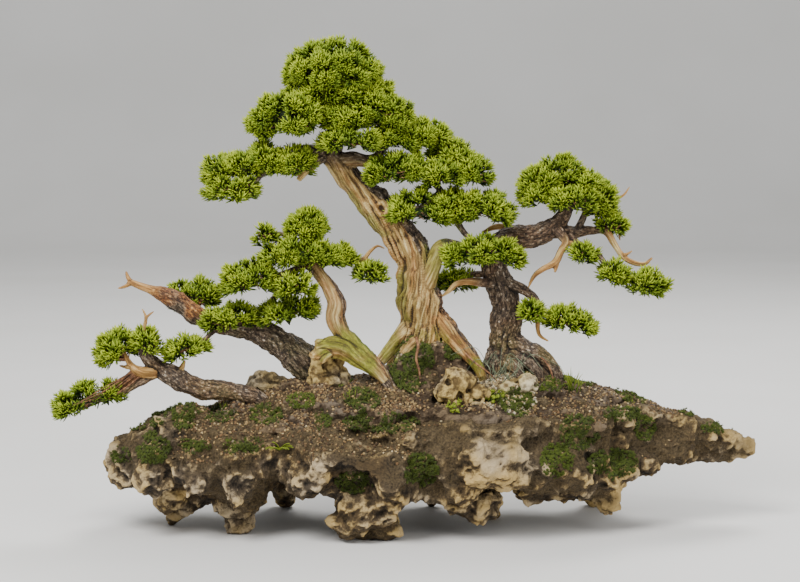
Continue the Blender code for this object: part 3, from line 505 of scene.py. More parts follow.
def model_tuft(height, radius, blades, lean):
    """One moss tuft: short pointed leaves leaning out of one spot."""
    leaves = []
    for number in range(blades):
        clear_selection()
        turn = 2 * math.pi * number / blades
        bpy.ops.mesh.primitive_cone_add(
            vertices=3, radius1=radius, radius2=0, depth=height, end_fill_type="NOTHING",
            location=(0, 0, height / 2))
        leaf = bpy.context.object
        bpy.ops.object.transform_apply(location=True)
        leaf.rotation_euler = (math.radians(lean if number else 4), 0, turn)
        bpy.ops.object.transform_apply(rotation=True)
        leaves.append(leaf)
    make_active(*leaves)
    bpy.ops.object.join()
    tuft = bpy.context.object
    points, faces = points_of(tuft), faces_of(tuft)
    bpy.data.objects.remove(tuft)
    return points, faces, np.clip(points[:, 2] / height, 0, 1)


# ---------------------------------------------------------------- materials
def palette_axes(tree):
    """The two directions of the colour palette that a piece's points are placed on."""
    place = add_node(tree, "ShaderNodeUVMap", uv_map=PALETTE)
    split = add_node(tree, "ShaderNodeSeparateXYZ", {"Vector": place.outputs["UV"]})
    return split.outputs["X"], split.outputs["Y"]


def carried(tree, name, output="Fac"):
    """One of the values that a piece's points carry."""
    return add_node(tree, "ShaderNodeAttribute", attribute_name=name).outputs[output]


def mottled(name, scale, detail, roughness, *stops):
    """A plain matt finish with one soft mottle."""
    material, tree, shader = new_material(name)
    where = add_node(tree, "ShaderNodeTexCoord").outputs["Object"]
    blotch = add_node(tree, "ShaderNodeTexNoise", {"Vector": where}, Scale=scale, Detail=detail)
    tree.links.new(ramp(tree, blotch.outputs["Fac"], *stops), shader.inputs["Base Color"])
    shader.inputs["Roughness"].default_value = roughness
    return material


def juniper_foliage():
    """Living scale-leaved juniper. New tips are a fresh yellow green and the inner shoots a deep green; the
    darkest greens are painted shade inside the pad and between clumps. Along the palette runs how near the
    tip a spot is, drawn towards the dark end where a shoot is painted darker, and up it how yellow that shoot
    is, which also rises with its painted light."""
    material, tree, shader = new_material("juniper_foliage")
    along, up = palette_axes(tree)
    fresh = ramp(tree, along, (0.0, "#131A05"), (0.25, "#3C520D"), (0.55, "#86991D"), (1.0, "#D2DC42"))
    cool = ramp(tree, along, (0.0, "#101807"), (0.25, "#2E4513"), (0.55, "#617A24"), (1.0, "#A6B840"))
    mixed = add_node(tree, "ShaderNodeMixRGB", {"Fac": up, "Color1": cool, "Color2": fresh})
    tree.links.new(mixed.outputs["Color"], shader.inputs["Base Color"])
    shader.inputs["Roughness"].default_value = 0.65
    shader.inputs["Specular IOR Level"].default_value = 0.2
    return material


def moss_leaf():
    """Living moss: soft pointed leaves, darker low down as painted shade among the leaves, and bright at
    their tips.
    """
    material, tree, shader = new_material("moss_leaf")
    along, up = palette_axes(tree)
    dark = ramp(tree, along, (0.0, "#131603"), (0.5, "#354006"), (1.0, "#5F6C0D"))
    bright = ramp(tree, along, (0.0, "#1D2206"), (0.5, "#51600A"), (1.0, "#94A11D"))
    mixed = add_node(tree, "ShaderNodeMixRGB", {"Fac": up, "Color1": dark, "Color2": bright})
    tree.links.new(mixed.outputs["Color"], shader.inputs["Base Color"])
    shader.inputs["Roughness"].default_value = 0.85
    return material


def mixed_grit():
    """Crushed bonsai grit, 2 to 4 mm: buff, orange, cream and grey grains. Along the palette runs the kind of
    stone, and up it how light that grain is."""
    material, tree, shader = new_material("mixed_grit")
    along, up = palette_axes(tree)
    kinds = ramp(tree, along, (0.0, "#3A2A1A"), (0.2, "#664A2A"), (0.4, "#8B6840"),
                 (0.58, "#A88C5C"), (0.78, "#C6A56C"), (0.92, "#DCC89C"), (1.0, "#ECE2C8"))
    shade = ramp(tree, up, (0.0, "#6E6E6E"), (1.0, "#F0F0F0"))
    mixed = add_node(tree, "ShaderNodeMixRGB", {"Color1": kinds, "Color2": shade}, blend_type="MULTIPLY",
                     Fac=1.0)
    tree.links.new(mixed.outputs["Color"], shader.inputs["Base Color"])
    shader.inputs["Roughness"].default_value = 0.8
    return material


def weathered_limestone(name, low, middle, high, muck):
    """Weathered limestone or tufa: pitted, cream where it stands proud and grey-brown in its hollows, which
    is partly broken and worn stone and partly painted highlight on the edges and painted shade in the
    hollows. The crag attribute holds how far a spot stands proud, on the slab also with painted shade on its
    undersides, and muck how much peaty dirt lies on it."""
    material, tree, shader = new_material(name)
    where = add_node(tree, "ShaderNodeTexCoord").outputs["Object"]
    crag = carried(tree, "crag")
    dirt = carried(tree, "muck")
    blotch = add_node(tree, "ShaderNodeTexNoise", {"Vector": where}, Scale=55.0, Detail=6.0, Roughness=0.65)
    grain = add_node(tree, "ShaderNodeTexNoise", {"Vector": where}, Scale=420.0, Detail=5.0, Roughness=0.7)
    pits = add_node(tree, "ShaderNodeTexVoronoi", {"Vector": where}, Scale=300.0)
    # Partly wear and partly painted light: proud spots are paler and hollows darker.
    worn = add_node(tree, "ShaderNodeMath", {0: crag, 2: blotch.outputs["Fac"]}, operation="MULTIPLY_ADD")
    worn.inputs[1].default_value = 0.9
    fleck = add_node(tree, "ShaderNodeMath", {0: grain.outputs["Fac"], 2: worn.outputs["Value"]},
                     operation="MULTIPLY_ADD")
    fleck.inputs[1].default_value = 0.75
    scaled = add_node(tree, "ShaderNodeMath", {0: fleck.outputs["Value"]}, operation="MULTIPLY")
    scaled.inputs[1].default_value = 0.62
    warm = ramp(tree, scaled.outputs["Value"], (0.50, low), (0.74, middle), (0.93, high), (1.0, high))
    drift = add_node(tree, "ShaderNodeTexNoise", {"Vector": where}, Scale=24.0, Detail=3.0)
    greyer = ramp(tree, drift.outputs["Fac"], (0.44, "#000000"), (0.62, "#C0C0C0"))
    cool = add_node(tree, "ShaderNodeHueSaturation", {"Color": warm}, Saturation=0.45, Value=0.92)
    both = add_node(tree, "ShaderNodeMixRGB",
                    {"Fac": greyer, "Color1": warm, "Color2": cool.outputs["Color"]})
    colour = both.outputs["Color"]
    soil = ramp(tree, grain.outputs["Fac"], (0.3, muck[0]), (0.7, muck[1]))
    veil = add_node(tree, "ShaderNodeMixRGB", {"Fac": dirt, "Color1": colour, "Color2": soil})
    tree.links.new(veil.outputs["Color"], shader.inputs["Base Color"])
    rough = add_node(tree, "ShaderNodeBump", {"Height": pits.outputs["Distance"]},
                     Strength=0.5, Distance=0.0012)
    fine = add_node(tree, "ShaderNodeBump",
                    {"Height": grain.outputs["Fac"], "Normal": rough.outputs["Normal"]},
                    Strength=0.9, Distance=0.0018)
    tree.links.new(fine.outputs["Normal"], shader.inputs["Normal"])
    shader.inputs["Roughness"].default_value = 0.9
    shader.inputs["Specular IOR Level"].default_value = 0.3
    return material


def juniper_wood():
    """Old juniper wood: flaky grey-brown to orange bark on the live parts, and deadwood bleached cream with
    tan and brown streaks along its grain. The grain attribute runs along each limb, and the relief attribute
    darkens hollows and crevices as painted shade."""
    material, tree, shader = new_material("juniper_wood")
    grain = carried(tree, "grain", "Vector")
    dead = carried(tree, "dead")
    red = carried(tree, "red")
    green = carried(tree, "algae")
    relief = carried(tree, "relief")
    across = add_node(tree, "ShaderNodeVectorMath", {0: grain}, operation="MULTIPLY")
    across.inputs[1].default_value = (1, 1, 11)
    flake = add_node(tree, "ShaderNodeTexNoise", {"Vector": across.outputs["Vector"]}, Scale=0.34, Detail=6.0,
                     Roughness=0.72)
    bend = add_node(tree, "ShaderNodeTexNoise", {"Vector": across.outputs["Vector"]}, Scale=0.25, Detail=3.0)
    bent = add_node(tree, "ShaderNodeVectorMath", {0: bend.outputs["Color"], 2: across.outputs["Vector"]},
                    operation="MULTIPLY_ADD")
    bent.inputs[1].default_value = (7, 7, 7)
    plates = add_node(tree, "ShaderNodeTexVoronoi", {"Vector": bent.outputs["Vector"]},
                      feature="DISTANCE_TO_EDGE", Scale=0.24)
    streak = add_node(tree, "ShaderNodeTexNoise", {"Vector": grain}, Scale=0.42, Detail=5.0, Roughness=0.62)
    bark = ramp(tree, flake.outputs["Fac"], (0.32, "#1A120B"), (0.45, "#503F2F"), (0.56, "#84715B"),
                (0.70, "#DCCFBC"))
    rust = ramp(tree, flake.outputs["Fac"], (0.30, "#2E1608"), (0.46, "#8A4F1C"), (0.58, "#C98A40"),
                (0.74, "#E6C284"))
    bare = ramp(tree, streak.outputs["Fac"], (0.28, "#3F2D12"), (0.42, "#8E6E39"), (0.53, "#BE9E60"),
                (0.68, "#E6D398"))
    stained = ramp(tree, streak.outputs["Fac"], (0.28, "#2A1405"), (0.42, "#784819"), (0.53, "#AE7434"),
                   (0.68, "#D8A668"))
    stain = add_node(tree, "ShaderNodeTexNoise", {"Vector": grain}, Scale=0.11, Detail=4.0, Roughness=0.6)
    share = add_node(tree, "ShaderNodeMath", {0: red, 1: stain.outputs["Fac"]}, operation="ADD")
    patchy = ramp(tree, share.outputs["Value"], (0.50, "#000000"), (0.66, "#D8D8D8"))
    weathered = add_node(tree, "ShaderNodeMixRGB", {"Fac": patchy, "Color1": bare, "Color2": stained})
    film = ramp(tree, flake.outputs["Fac"], (0.3, "#363D05"), (0.55, "#7C890F"), (0.75, "#C0B944"))
    live = add_node(tree, "ShaderNodeMixRGB", {"Fac": red, "Color1": bark, "Color2": rust})
    cracks = ramp(tree, plates.outputs["Distance"], (0.0, "#6E6257"), (0.16, "#FFFFFF"))
    plated = add_node(tree, "ShaderNodeMixRGB", {"Color1": live.outputs["Color"], "Color2": cracks},
                      blend_type="MULTIPLY", Fac=1.0)
    wood = add_node(tree, "ShaderNodeMixRGB",
                    {"Fac": dead, "Color1": plated.outputs["Color"], "Color2": weathered.outputs["Color"]})
    all_over = add_node(tree, "ShaderNodeMixRGB",
                        {"Fac": green, "Color1": wood.outputs["Color"], "Color2": film})
    # Painted shade: where relief is low, in hollows and crevices, the colour is darkened.
    hollow = ramp(tree, relief, (0.0, "#4A3C2C"), (0.35, "#B5AA98"), (0.62, "#F0EDE6"), (0.9, "#FFFFFF"))
    shaded = add_node(tree, "ShaderNodeMixRGB", {"Color1": all_over.outputs["Color"], "Color2": hollow},
                      blend_type="MULTIPLY", Fac=1.0)
    tree.links.new(shaded.outputs["Color"], shader.inputs["Base Color"])
    lines = add_node(tree, "ShaderNodeBump", {"Height": streak.outputs["Fac"]}, Strength=0.7, Distance=0.0016)
    flakes = add_node(tree, "ShaderNodeBump",
                      {"Height": flake.outputs["Fac"], "Normal": lines.outputs["Normal"]},
                      Strength=0.8, Distance=0.0022)
    tree.links.new(flakes.outputs["Normal"], shader.inputs["Normal"])
    shader.inputs["Roughness"].default_value = 0.75
    return material


def twig_bark():
    """Thin juniper twigs under the pads: orange-brown papery bark, a little darker in blotches."""
    return mottled("twig_bark", 260.0, 3.0, 0.8, (0.35, "#3F2A1C"), (0.55, "#7A5233"), (0.7, "#A47A52"))


def pale_strand():
    """Wiry lichen strands: dry, pale grey green."""
    return mottled("pale_strand", 150.0, 2.0, 0.85, (0.4, "#4C5540"), (0.65, "#858E70"))


def pale_floor():
    """A painted studio sweep: matt and almost white, with the faintest mottle of a rolled coat."""
    return mottled("pale_floor", 3.0, 2.0, 0.7, (0.3, "#E4E2DD"), (0.7, "#E9E7E3"))


MATERIALS = {}


def material_for(maker, *words):
    key = maker.__name__ + (words[0] if words else "")
    if key not in MATERIALS:
        MATERIALS[key] = maker(*words)
    return MATERIALS[key]


# ---------------------------------------------------------------- the slab
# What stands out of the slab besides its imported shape: (centre), (radii) in millimetres
OUTCROPS = (
    ((-262, -62, 118), (17, 18, 15)), ((-235, -48, 128), (22, 20, 12)), ((-312, -34, 92), (15, 24, 15)),
    ((-318, -20, 68), (12, 20, 12)), ((-272, -86, 70), (18, 16, 24)), ((-228, -104, 76), (14, 13, 26)),
    ((-183, -112, 70), (13, 15, 34)), ((-112, -112, 66), (14, 14, 20)),
    ((-92, -120, 84), (13, 13, 22)), ((-70, -130, 99), (20, 10, 9)), ((-40, -134, 92), (22, 10, 9)),
    ((-15, -128, 84), (16, 13, 24)), ((-14, -112, 54), (18, 16, 20)), ((-46, -104, 34), (34, 16, 24)),
    ((-60, -92, 16), (17, 15, 14)), ((-22, -86, 12), (16, 15, 13)),
    ((98, -108, 86), (36, 24, 27)), ((74, -112, 100), (22, 18, 17)), ((118, -104, 76), (20, 20, 18)),
    ((60, -98, 54), (16, 18, 14)), ((88, -60, 34), (20, 24, 18)), ((146, -88, 82), (22, 22, 16)),
    ((180, -74, 70), (20, 22, 18)), ((214, -44, 60), (20, 26, 20)), ((236, -30, 70), (18, 26, 16)),
    ((262, -20, 76), (18, 24, 15)), ((290, -14, 92), (26, 22, 18)), ((300, -18, 112), (20, 20, 17)),
    ((322, -6, 108), (24, 20, 14)), ((350, 4, 96), (20, 18, 11)), ((371, 12, 85), (13, 12, 7)),
    ((382, 14, 82), (10, 10, 9)), ((62, -66, 38), (26, 18, 12)), ((80, -64, 27), (20, 16, 12)),
    ((140, -30, 52), (24, 30, 20)), ((174, -20, 47), (26, 30, 18)), ((200, -14, 48), (20, 26, 18)),
    ((264, -22, 124), (26, 22, 14)), ((232, -30, 126), (26, 22, 15)), ((200, -44, 122), (28, 24, 17)),
    ((60, -86, 117), (40, 24, 17)), ((120, -80, 117), (40, 24, 17)), ((6, -92, 115), (36, 22, 15)),
    ((168, -62, 116), (36, 22, 15)), ((222, -40, 43), (17, 15, 20)), ((-256, -32, 36), (19, 20, 15)),
)
# Hollows worn into it, in the same way
HOLLOWS = (
    ((-66, -132, 64), (25, 26, 16)), ((22, -128, 62), (13, 22, 22)), ((10, -120, 32), (12, 24, 16)),
    ((-128, -128, 52), (18, 24, 14)), ((-206, -122, 100), (10, 12, 8)), ((-160, -126, 98), (12, 12, 9)),
    ((-246, -110, 50), (12, 18, 12)), ((44, -126, 28), (24, 30, 16)), ((132, -118, 50), (22, 26, 14)),
    ((-296, -72, 46), (14, 18, 10)), ((168, -96, 46), (16, 18, 12)), ((-100, -132, 108), (11, 10, 7)),
    ((200, -78, 92), (12, 12, 9)), ((-30, -128, 112), (12, 10, 7)), ((394, 14, 127), (36, 46, 27)),
)
# The pale boulder and knob on the front: (centre), (radii) in metres
BOULDER = ((0.094, -0.110, 0.086), (0.040, 0.035, 0.032))
KNOB = ((-0.262, -0.070, 0.116), (0.030, 0.035, 0.025))
# Other pale spots, mostly feet: x, y, z and size in millimetres, and how pale
PALE_SPOTS = (
    (-257, -14, 32, 28, 0.45), (-183, -60, 24, 26, 0.30), (222, -40, 40, 24, 0.40), (384, 14, 88, 22, 0.40),
)
# What heaps the soil up: (centre), (radii) in millimetres
SOIL_HEAPS = (
    ((18, -16, 184), (34, 22, 27)), ((-4, -28, 164), (32, 22, 22)), ((50, -6, 180), (26, 18, 18)),
    ((46, -22, 166), (28, 22, 18)), ((-92, -24, 150), (44, 30, 20)), ((120, -16, 152), (48, 30, 18)),
    ((-160, -34, 132), (46, 30, 16)), ((190, -12, 140), (50, 30, 14)), ((-20, -70, 132), (60, 26, 18)),
    ((70, -66, 130), (60, 24, 16)), ((-120, -66, 120), (60, 26, 16)), ((170, -50, 122), (56, 24, 14)),
)


def add_lump(centre, radii, detail=3):
    clear_selection()
    bpy.ops.mesh.primitive_ico_sphere_add(
        subdivisions=detail, radius=1, location=Vector(centre) * MM, scale=Vector(radii) * MM)
    lump = bpy.context.object
    bpy.ops.object.transform_apply(location=True, rotation=True, scale=True)
    return lump


def rough_lump(centre, radii, shift):
    """A lump with an uneven, angular surface."""
    lump = add_lump(centre, radii)
    points = points_of(lump)
    middle = Vector(centre) * MM
    out = points - np.array(middle)
    swell = 1 + 0.30 * fractal(points, 0.022, 3, shift) + 0.22 * (ridges(points, 0.016, 2, shift) - 1)
    set_points(lump, np.array(middle) + out * swell[:, None])
    return lump


def copy_node(name):
    """A welded copy of a CAD node, free to be reshaped."""
    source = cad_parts[name]
    made = bpy.data.objects.new(name + "_copy", source.data.copy())
    bpy.context.scene.collection.objects.link(made)
    made.data.materials.clear()
    make_active(made)
    bpy.ops.object.mode_set(mode="EDIT")
    bpy.ops.mesh.select_all(action="SELECT")
    bpy.ops.mesh.remove_doubles(threshold=WELD_GAP)
    bpy.ops.object.mode_set(mode="OBJECT")
    return made


def merge(objects, name):
    make_active(*objects)
    bpy.ops.object.join()
    merged = bpy.context.object
    merged.name = name
    merged.data.name = name
    return merged


def carve(body, cutter):
    step = body.modifiers.new("hollow", "BOOLEAN")
    step.operation = "DIFFERENCE"
    step.solver = "EXACT"
    step.object = cutter
    apply_modifiers(body)
    bpy.data.objects.remove(cutter)


def proud(piece, rounds):
    """How far each point stands out of its surroundings, in metres."""
    points = points_of(piece)
    return np.einsum("ij,ij->i", points - spread(piece, points, rounds), normals_of(piece))


class GROVE_OT_slab(bpy.types.Operator):
    """The craggy slab with its feet, arches, outcrops and hollows"""

    bl_idname = "grove.slab"
    bl_label = "Rock slab"

    def execute(self, context):
        sizes = context.scene.grove_sizes
        parts = [copy_node("rock_slab"), copy_node("soil_mound")]
        parts += [rough_lump(c, r, 0.13 * i) for i, (c, r) in enumerate(OUTCROPS)]
        slab = merge(parts, "rock_slab_skin")
        remesh(slab, COARSE * sizes.rock_detail)
        hollows = [rough_lump(c, r, 3.7 + 0.17 * i) for i, (c, r) in enumerate(HOLLOWS)]
        cutter = merge(hollows, "hollows")
        remesh(cutter, COARSE * sizes.rock_detail)
        carve(slab, cutter)
        remesh(slab, sizes.rock_detail)
        points = points_of(slab)
        normals = normals_of(slab)
        big = ridges(points, 0.052, 3) - 1.0
        middle = fractal(points, 0.017, 3, 5.0)
        pits = cells(points, 0.010, 2.0)
        small = fractal(points, 0.006, 2, 9.0)
        top = smoothstep(normals[:, 2], 0.35, 0.8)
        calm = 1 - 0.4 * top
        crease = ridges(points, 0.024, 3, 8.0) - 1
        push = calm * (0.0050 * big + 0.0024 * middle + 0.0052 * crease)
        push -= calm * 0.0030 * smoothstep(0.42 - pits[:, 0], 0.0, 0.4)
        fine = 0.0016 * fractal(points, 0.012, 3, 14.0) + 0.0012 * small
        push += fine + 0.0016 * (ridges(points, 0.010, 2, 6.0) - 1)
        free = smoothstep(points[:, 2], 0.0, 0.010)
        points += normals * (push * (0.25 + 0.75 * free))[:, None]
        points[:, 2] = np.maximum(points[:, 2], 0.0)
        low, high = np.array(CAD_BOX[0]), np.array(CAD_BOX[1])
        points = np.clip(points, low - SKIN_MARGIN, high + SKIN_MARGIN)
        points[:, 2] = np.maximum(points[:, 2], 0.0)
        set_points(slab, points)
        dress(slab, material_for(weathered_limestone, "weathered_limestone", "#1C150C", "#59482F", "#BDA066",
                                 ("#221A10", "#6B5A3D")))
        normals = normals_of(slab)
        # Proud spots are paler, partly worn stone and partly painted highlight, and hollows darker as painted
        # shade.
        edge = 0.55 * proud(slab, 14) / 0.0022 + 0.22 * proud(slab, 3) / 0.0007
        pale = smoothstep(points[:, 2], 0.105, 0.035) * 0.20
        boulder = reach_from(points, *BOULDER)
        knob = reach_from(points, *KNOB)
        pale += 0.55 * smoothstep(boulder, 1.25, 0.8) + 0.25 * smoothstep(knob, 1.3, 0.8)
        pale += 0.35 * smoothstep(points[:, 0], 0.30, 0.36)
        for x, y, z, size, light in PALE_SPOTS:
            near = np.linalg.norm(points / MM - (x, y, z), axis=1) / size
            pale += light * smoothstep(near, 1.2, 0.7)
        # Painted shade: the undersides are darkened.
        under = smoothstep(-normals[:, 2], 0.2, 0.7)
        cloud = fractal(points, 0.055, 3, 12.0)
        crag = np.clip(0.10 + 0.36 * edge + pale + 0.35 * cloud - 0.35 * under, 0, 1.2)
        set_attribute(slab, "crag", crag)
        up = smoothstep(normals[:, 2] + 0.25 * fractal(points, 0.02, 2, 1.0), 0.25, 0.75)
        high_up = smoothstep(points[:, 2], 0.085, 0.12)
        muck = np.clip(up * (0.45 + 0.55 * high_up) + 0.45 * high_up * (edge < 0.2), 0, 0.92)
        muck = np.maximum(muck, 0.75 * smoothstep(-cloud + 0.5 * high_up, -0.05, 0.35) * (edge < 0.9))
        muck *= 1 - 0.8 * smoothstep(boulder, 1.3, 0.9) * (normals[:, 2] < 0.75)
        muck *= 1 - 0.8 * smoothstep(knob, 1.3, 0.9)
        set_attribute(slab, "muck", spread(slab, muck, 2))
        settle(slab, "rock", "rock_slab")
        return {"FINISHED"}


class GROVE_OT_soil(bpy.types.Operator):
    """The mound of peaty muck that the trees grow in"""

    bl_idname = "grove.soil"
    bl_label = "Soil mound"

    def execute(self, context):
        sizes = context.scene.grove_sizes
        parts = [copy_node("soil_mound")]
        parts += [rough_lump(c, r, 6.0 + 0.3 * i) for i, (c, r) in enumerate(SOIL_HEAPS)]
        soil = merge(parts, "soil_mound_skin")
        remesh(soil, sizes.soil_detail)
        points, normals = points_of(soil), normals_of(soil)
        push = 0.0045 * fractal(points, 0.026, 3) + 0.0022 * ridges(points, 0.012, 2, 4.0) - 0.002
        push += 0.0010 * fractal(points, 0.0045, 2, 7.0)
        points += normals * push[:, None]
        set_points(soil, points)
        dress(soil, material_for(weathered_limestone, "muck_and_grit", "#211911", "#4C3D2D", "#8F7A5E",
                                 ("#241B12", "#57452F")))
        # Proud spots are paler and hollows darker: partly worn grit, partly painted highlight and painted
        # shade.
        edge = proud(soil, 8) / 0.0012
        set_attribute(soil, "crag", np.clip(0.25 + 0.35 * edge, 0, 1))
        set_attribute(soil, "muck", np.full(len(points), 0.55))
        settle(soil, "soil", "soil_mound")
        return {"FINISHED"}


class Ground:
    """The slab and soil together, to drop and push things onto."""

    def __init__(self):
        pieces = [bpy.data.objects[name] for name in ("rock_slab_skin", "soil_mound_skin")]
        points, faces = joined([(points_of(piece), faces_of(piece)) for piece in pieces])
        self.tree = BVHTree.FromPolygons(points.tolist(), faces.tolist(), all_triangles=True)

    def hits(self, starts, way):
        """Where rays meet the ground: places and outward normals, leaving out those that miss."""
        places, normals = [], []
        for start in starts:
            place, normal, _, _ = self.tree.ray_cast(Vector(start), Vector(way))
            if place is not None:
                places.append(place)
                normals.append(normal if normal.dot(Vector(way)) < 0 else -normal)
        return np.array(places).reshape(-1, 3), np.array(normals).reshape(-1, 3)


def front_starts(rng, x0, x1, z0, z1, count, oval=False):
    """Starting points of rays that come in from the front over a rectangle or oval of the grove, given in
    millimetres across and up as they look from there."""
    if oval:
        turn, reach = rng.uniform(0, 2 * math.pi, count), np.sqrt(rng.uniform(0, 1, count))
        x = (x0 + x1) / 2 + (x1 - x0) / 2 * reach * np.cos(turn)
        z = (z0 + z1) / 2 + (z1 - z0) / 2 * reach * np.sin(turn)
    else:
        x, z = rng.uniform(x0, x1, count), rng.uniform(z0, z1, count)
    back = -FRONT_AWAY * math.cos(FRONT_TILT)
    rise = FRONT_AWAY * math.sin(FRONT_TILT)
    return np.stack([x * MM, np.full(count, back), z * MM + rise], axis=1)


WARM_TUFA = ("weathered_tufa", "#241B0E", "#6B5632", "#BDA264", ("#2E2415", "#5C4A2C"))
GREY_TUFA = ("grey_tufa", "#241D12", "#5C4E34", "#A08A5C", ("#2A2115", "#4E402A"))
PALE_TUFA = ("pale_tufa", "#43351E", "#8D7648", "#DDC88E", ("#3E301B", "#6E5A38"))
# Each accent stone: its finish, its lumps and its bores as (centre from the stone's own), (radii) in
# millimetres
STONES = {
    "holed_stone": (
        WARM_TUFA,
        (((-15, 0, 15), (13, 11, 20)), ((-4, 3, 2), (17, 12, 16)), ((15, 3, -1), (14, 10, 13)),
         ((27, 5, -8), (9, 9, 9)), ((-17, 1, -9), (14, 12, 11)), ((-11, 2, 29), (11, 10, 10)),
         ((-1, 3, 23), (17, 12, 12)), ((17, 3, 12), (12, 9, 9))),
        (((-2, -12, 7), (7, 13, 8)), ((15, -11, 4), (8, 12, 4)), ((-22, -9, -1), (5, 9, 4)),
         ((26, -3, 2), (4, 12, 4)), ((3, -12, -11), (7, 9, 4)), ((-16, -10, 22), (4, 8, 4))),
    ),
    "grey_stone": (
        GREY_TUFA,
        (((-10, 0, 1), (16, 13, 13)), ((10, -2, -1), (15, 12, 11)), ((-17, 0, -4), (11, 10, 10)),
         ((1, 0, 7), (9, 9, 9))),
        (((4, -13, 4), (8, 6, 2.5)), ((-14, -12, -2), (4, 5, 4))),
    ),
    "split_stone": (
        WARM_TUFA,
        (((-11, 0, 7), (9, 10, 15)), ((6, 2, 9), (10, 9, 13)), ((-4, 0, -6), (19, 13, 12)),
         ((16, 1, -3), (9, 9, 10)), ((-2, 1, 17), (8, 8, 8)), ((12, 1, 17), (6, 6, 7))),
        (((-18, -9, -2), (4, 5, 6)), ((3, -11, 1), (9, 5, 2.5)), ((-4, -10, 13), (2.5, 6, 7)),
         ((14, -9, -8), (4, 4, 3))),
    ),
    "white_stone": (
        PALE_TUFA,
        (((-10, 0, 0), (13, 11, 10)), ((7, 0, 2), (12, 10, 11)), ((19, 2, -4), (8, 8, 8)),
         ((-18, 1, -4), (8, 8, 8))),
        (((-2, -11, 4), (3, 6, 7)), ((12, -10, -2), (6, 4, 2.5))),
    ),
}


class GROVE_OT_stones(bpy.types.Operator):
    """The pale holed and split stones set into the mound"""

    bl_idname = "grove.stones"
    bl_label = "Accent stones"

    def execute(self, context):
        sizes = context.scene.grove_sizes
        for number, (name, (look, lumps, bores)) in enumerate(STONES.items()):
            low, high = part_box(name)
            middle = (low + high) / 2 / MM
            parts = [
                rough_lump(middle + Vector(c), r, 11.0 + number + 0.4 * i) for i, (c, r) in enumerate(lumps)
            ]
            stone = merge(parts, name + "_skin")
            remesh(stone, STONE_FIRST_DETAIL)
            cutter = merge([add_lump(middle + Vector(c), r) for c, r in bores], "bores")
            carve(stone, cutter)
            remesh(stone, sizes.stone_detail)
            points, normals = points_of(stone), normals_of(stone)
            push = 0.0008 + 0.0030 * (ridges(points, 0.030, 2, number) - 0.8)
            push += 0.0016 * fractal(points, 0.009, 4)
            push -= 0.0034 * smoothstep(0.36 - cells(points, 0.011, number)[:, 0], 0, 0.36)
            set_points(stone, points + normals * push[:, None])
            dress(stone, material_for(weathered_limestone, *look))
            # Proud spots are paler and hollows darker: partly worn stone, partly painted highlight and
            # painted shade.
            edge = proud(stone, 8) / 0.0010
            set_attribute(stone, "crag", np.clip(0.30 + 0.36 * edge, 0, 1.1))
            dirt = smoothstep(points[:, 2], low.z + 0.020, low.z + 0.006)
            set_attribute(stone, "muck", np.clip(dirt, 0, 0.9))
            settle(stone, "accent_stone", name)
        return {"FINISHED"}


# Where grit lies, as seen from the front in millimetres (left, right, low, high), and how thickly
GRIT_PATCHES = (
    (-249, 21, 77, 156, 1.0), (-117, 15, 110, 160, 1.0), (54, 142, 128, 167, 1.3), (81, 136, 152, 172, 2.2),
    (136, 301, 121, 163, 0.8), (-183, -84, 143, 170, 1.0), (169, 257, 160, 178, 0.5),
)
# Where the grains are whiter: (centre), (radii) in metres
WHITER_GRIT = ((0.110, -0.03, 0.155), (0.035, 0.08, 0.03))


class GROVE_OT_grit(bpy.types.Operator):
    """Loose grit over the mound and the top of the slab"""

    bl_idname = "grove.grit"
    bl_label = "Grit"

    def execute(self, context):
        sizes = context.scene.grove_sizes
        rng = np.random.default_rng(SEEDS["grit"])
        ground = Ground()
        found = []
        for x0, x1, z0, z1, thick in GRIT_PATCHES:
            count = int((x1 - x0) * (z1 - z0) * thick * GRIT_PER_MM2 * sizes.grit_cover)
            places, normals = ground.hits(front_starts(rng, x0, x1, z0, z1, count), FRONT_WAY)
            keep = normals[:, 2] > rng.uniform(0.25, 0.55, len(places))
            found.append((places[keep], normals[keep]))
        count = int(GRIT_FROM_ABOVE * sizes.grit_cover)
        above = np.stack([rng.uniform(-0.25, 0.31, count), rng.uniform(-0.09, 0.11, count),
                          np.full(count, DROP_HEIGHT)], axis=1)
        places, normals = ground.hits(above, FROM_ABOVE)
        keep = normals[:, 2] > 0.5
        found.append((places[keep], normals[keep]))
        places = np.concatenate([f[0] for f in found])
        normals = np.concatenate([f[1] for f in found])
        drift = fractal(places, 0.03, 2, 3.0)
        keep = drift > rng.uniform(-0.9, 0.15, len(places))
        places, normals = places[keep], normals[keep]
        points, faces = model_lump()
        size = rng.uniform(0.7, 1.5, len(places)) * sizes.grit_size / 2
        squash = np.stack([rng.uniform(0.8, 1.3, len(places)), rng.uniform(0.7, 1.1, len(places)),
                           rng.uniform(0.5, 0.9, len(places))], axis=1)
        turns = frames_along(normals + rng.normal(0, 0.4, normals.shape), rng) * squash[:, None, :]
        spots, tris = scatter(points, faces, turns, size, places + normals * (size * 0.35)[:, None])
        piece = mesh_piece("loose_grit", spots, tris, material_for(mixed_grit), smooth=False)
        whiter = reach_from(places, *WHITER_GRIT) < 1
        kind = np.where(whiter, rng.uniform(0.75, 1.0, len(places)), rng.beta(2.2, 2.4, len(places)))
        shade = rng.uniform(0, 1, len(places))
        each = np.repeat(np.stack([kind, shade], axis=1), len(points), axis=0)
        wobble = np.tile(points[:, :2] * 0.012, (len(places), 1))
        set_palette(piece, each + wobble)
        settle(piece, "soil", "soil_mound")
        return {"FINISHED"}


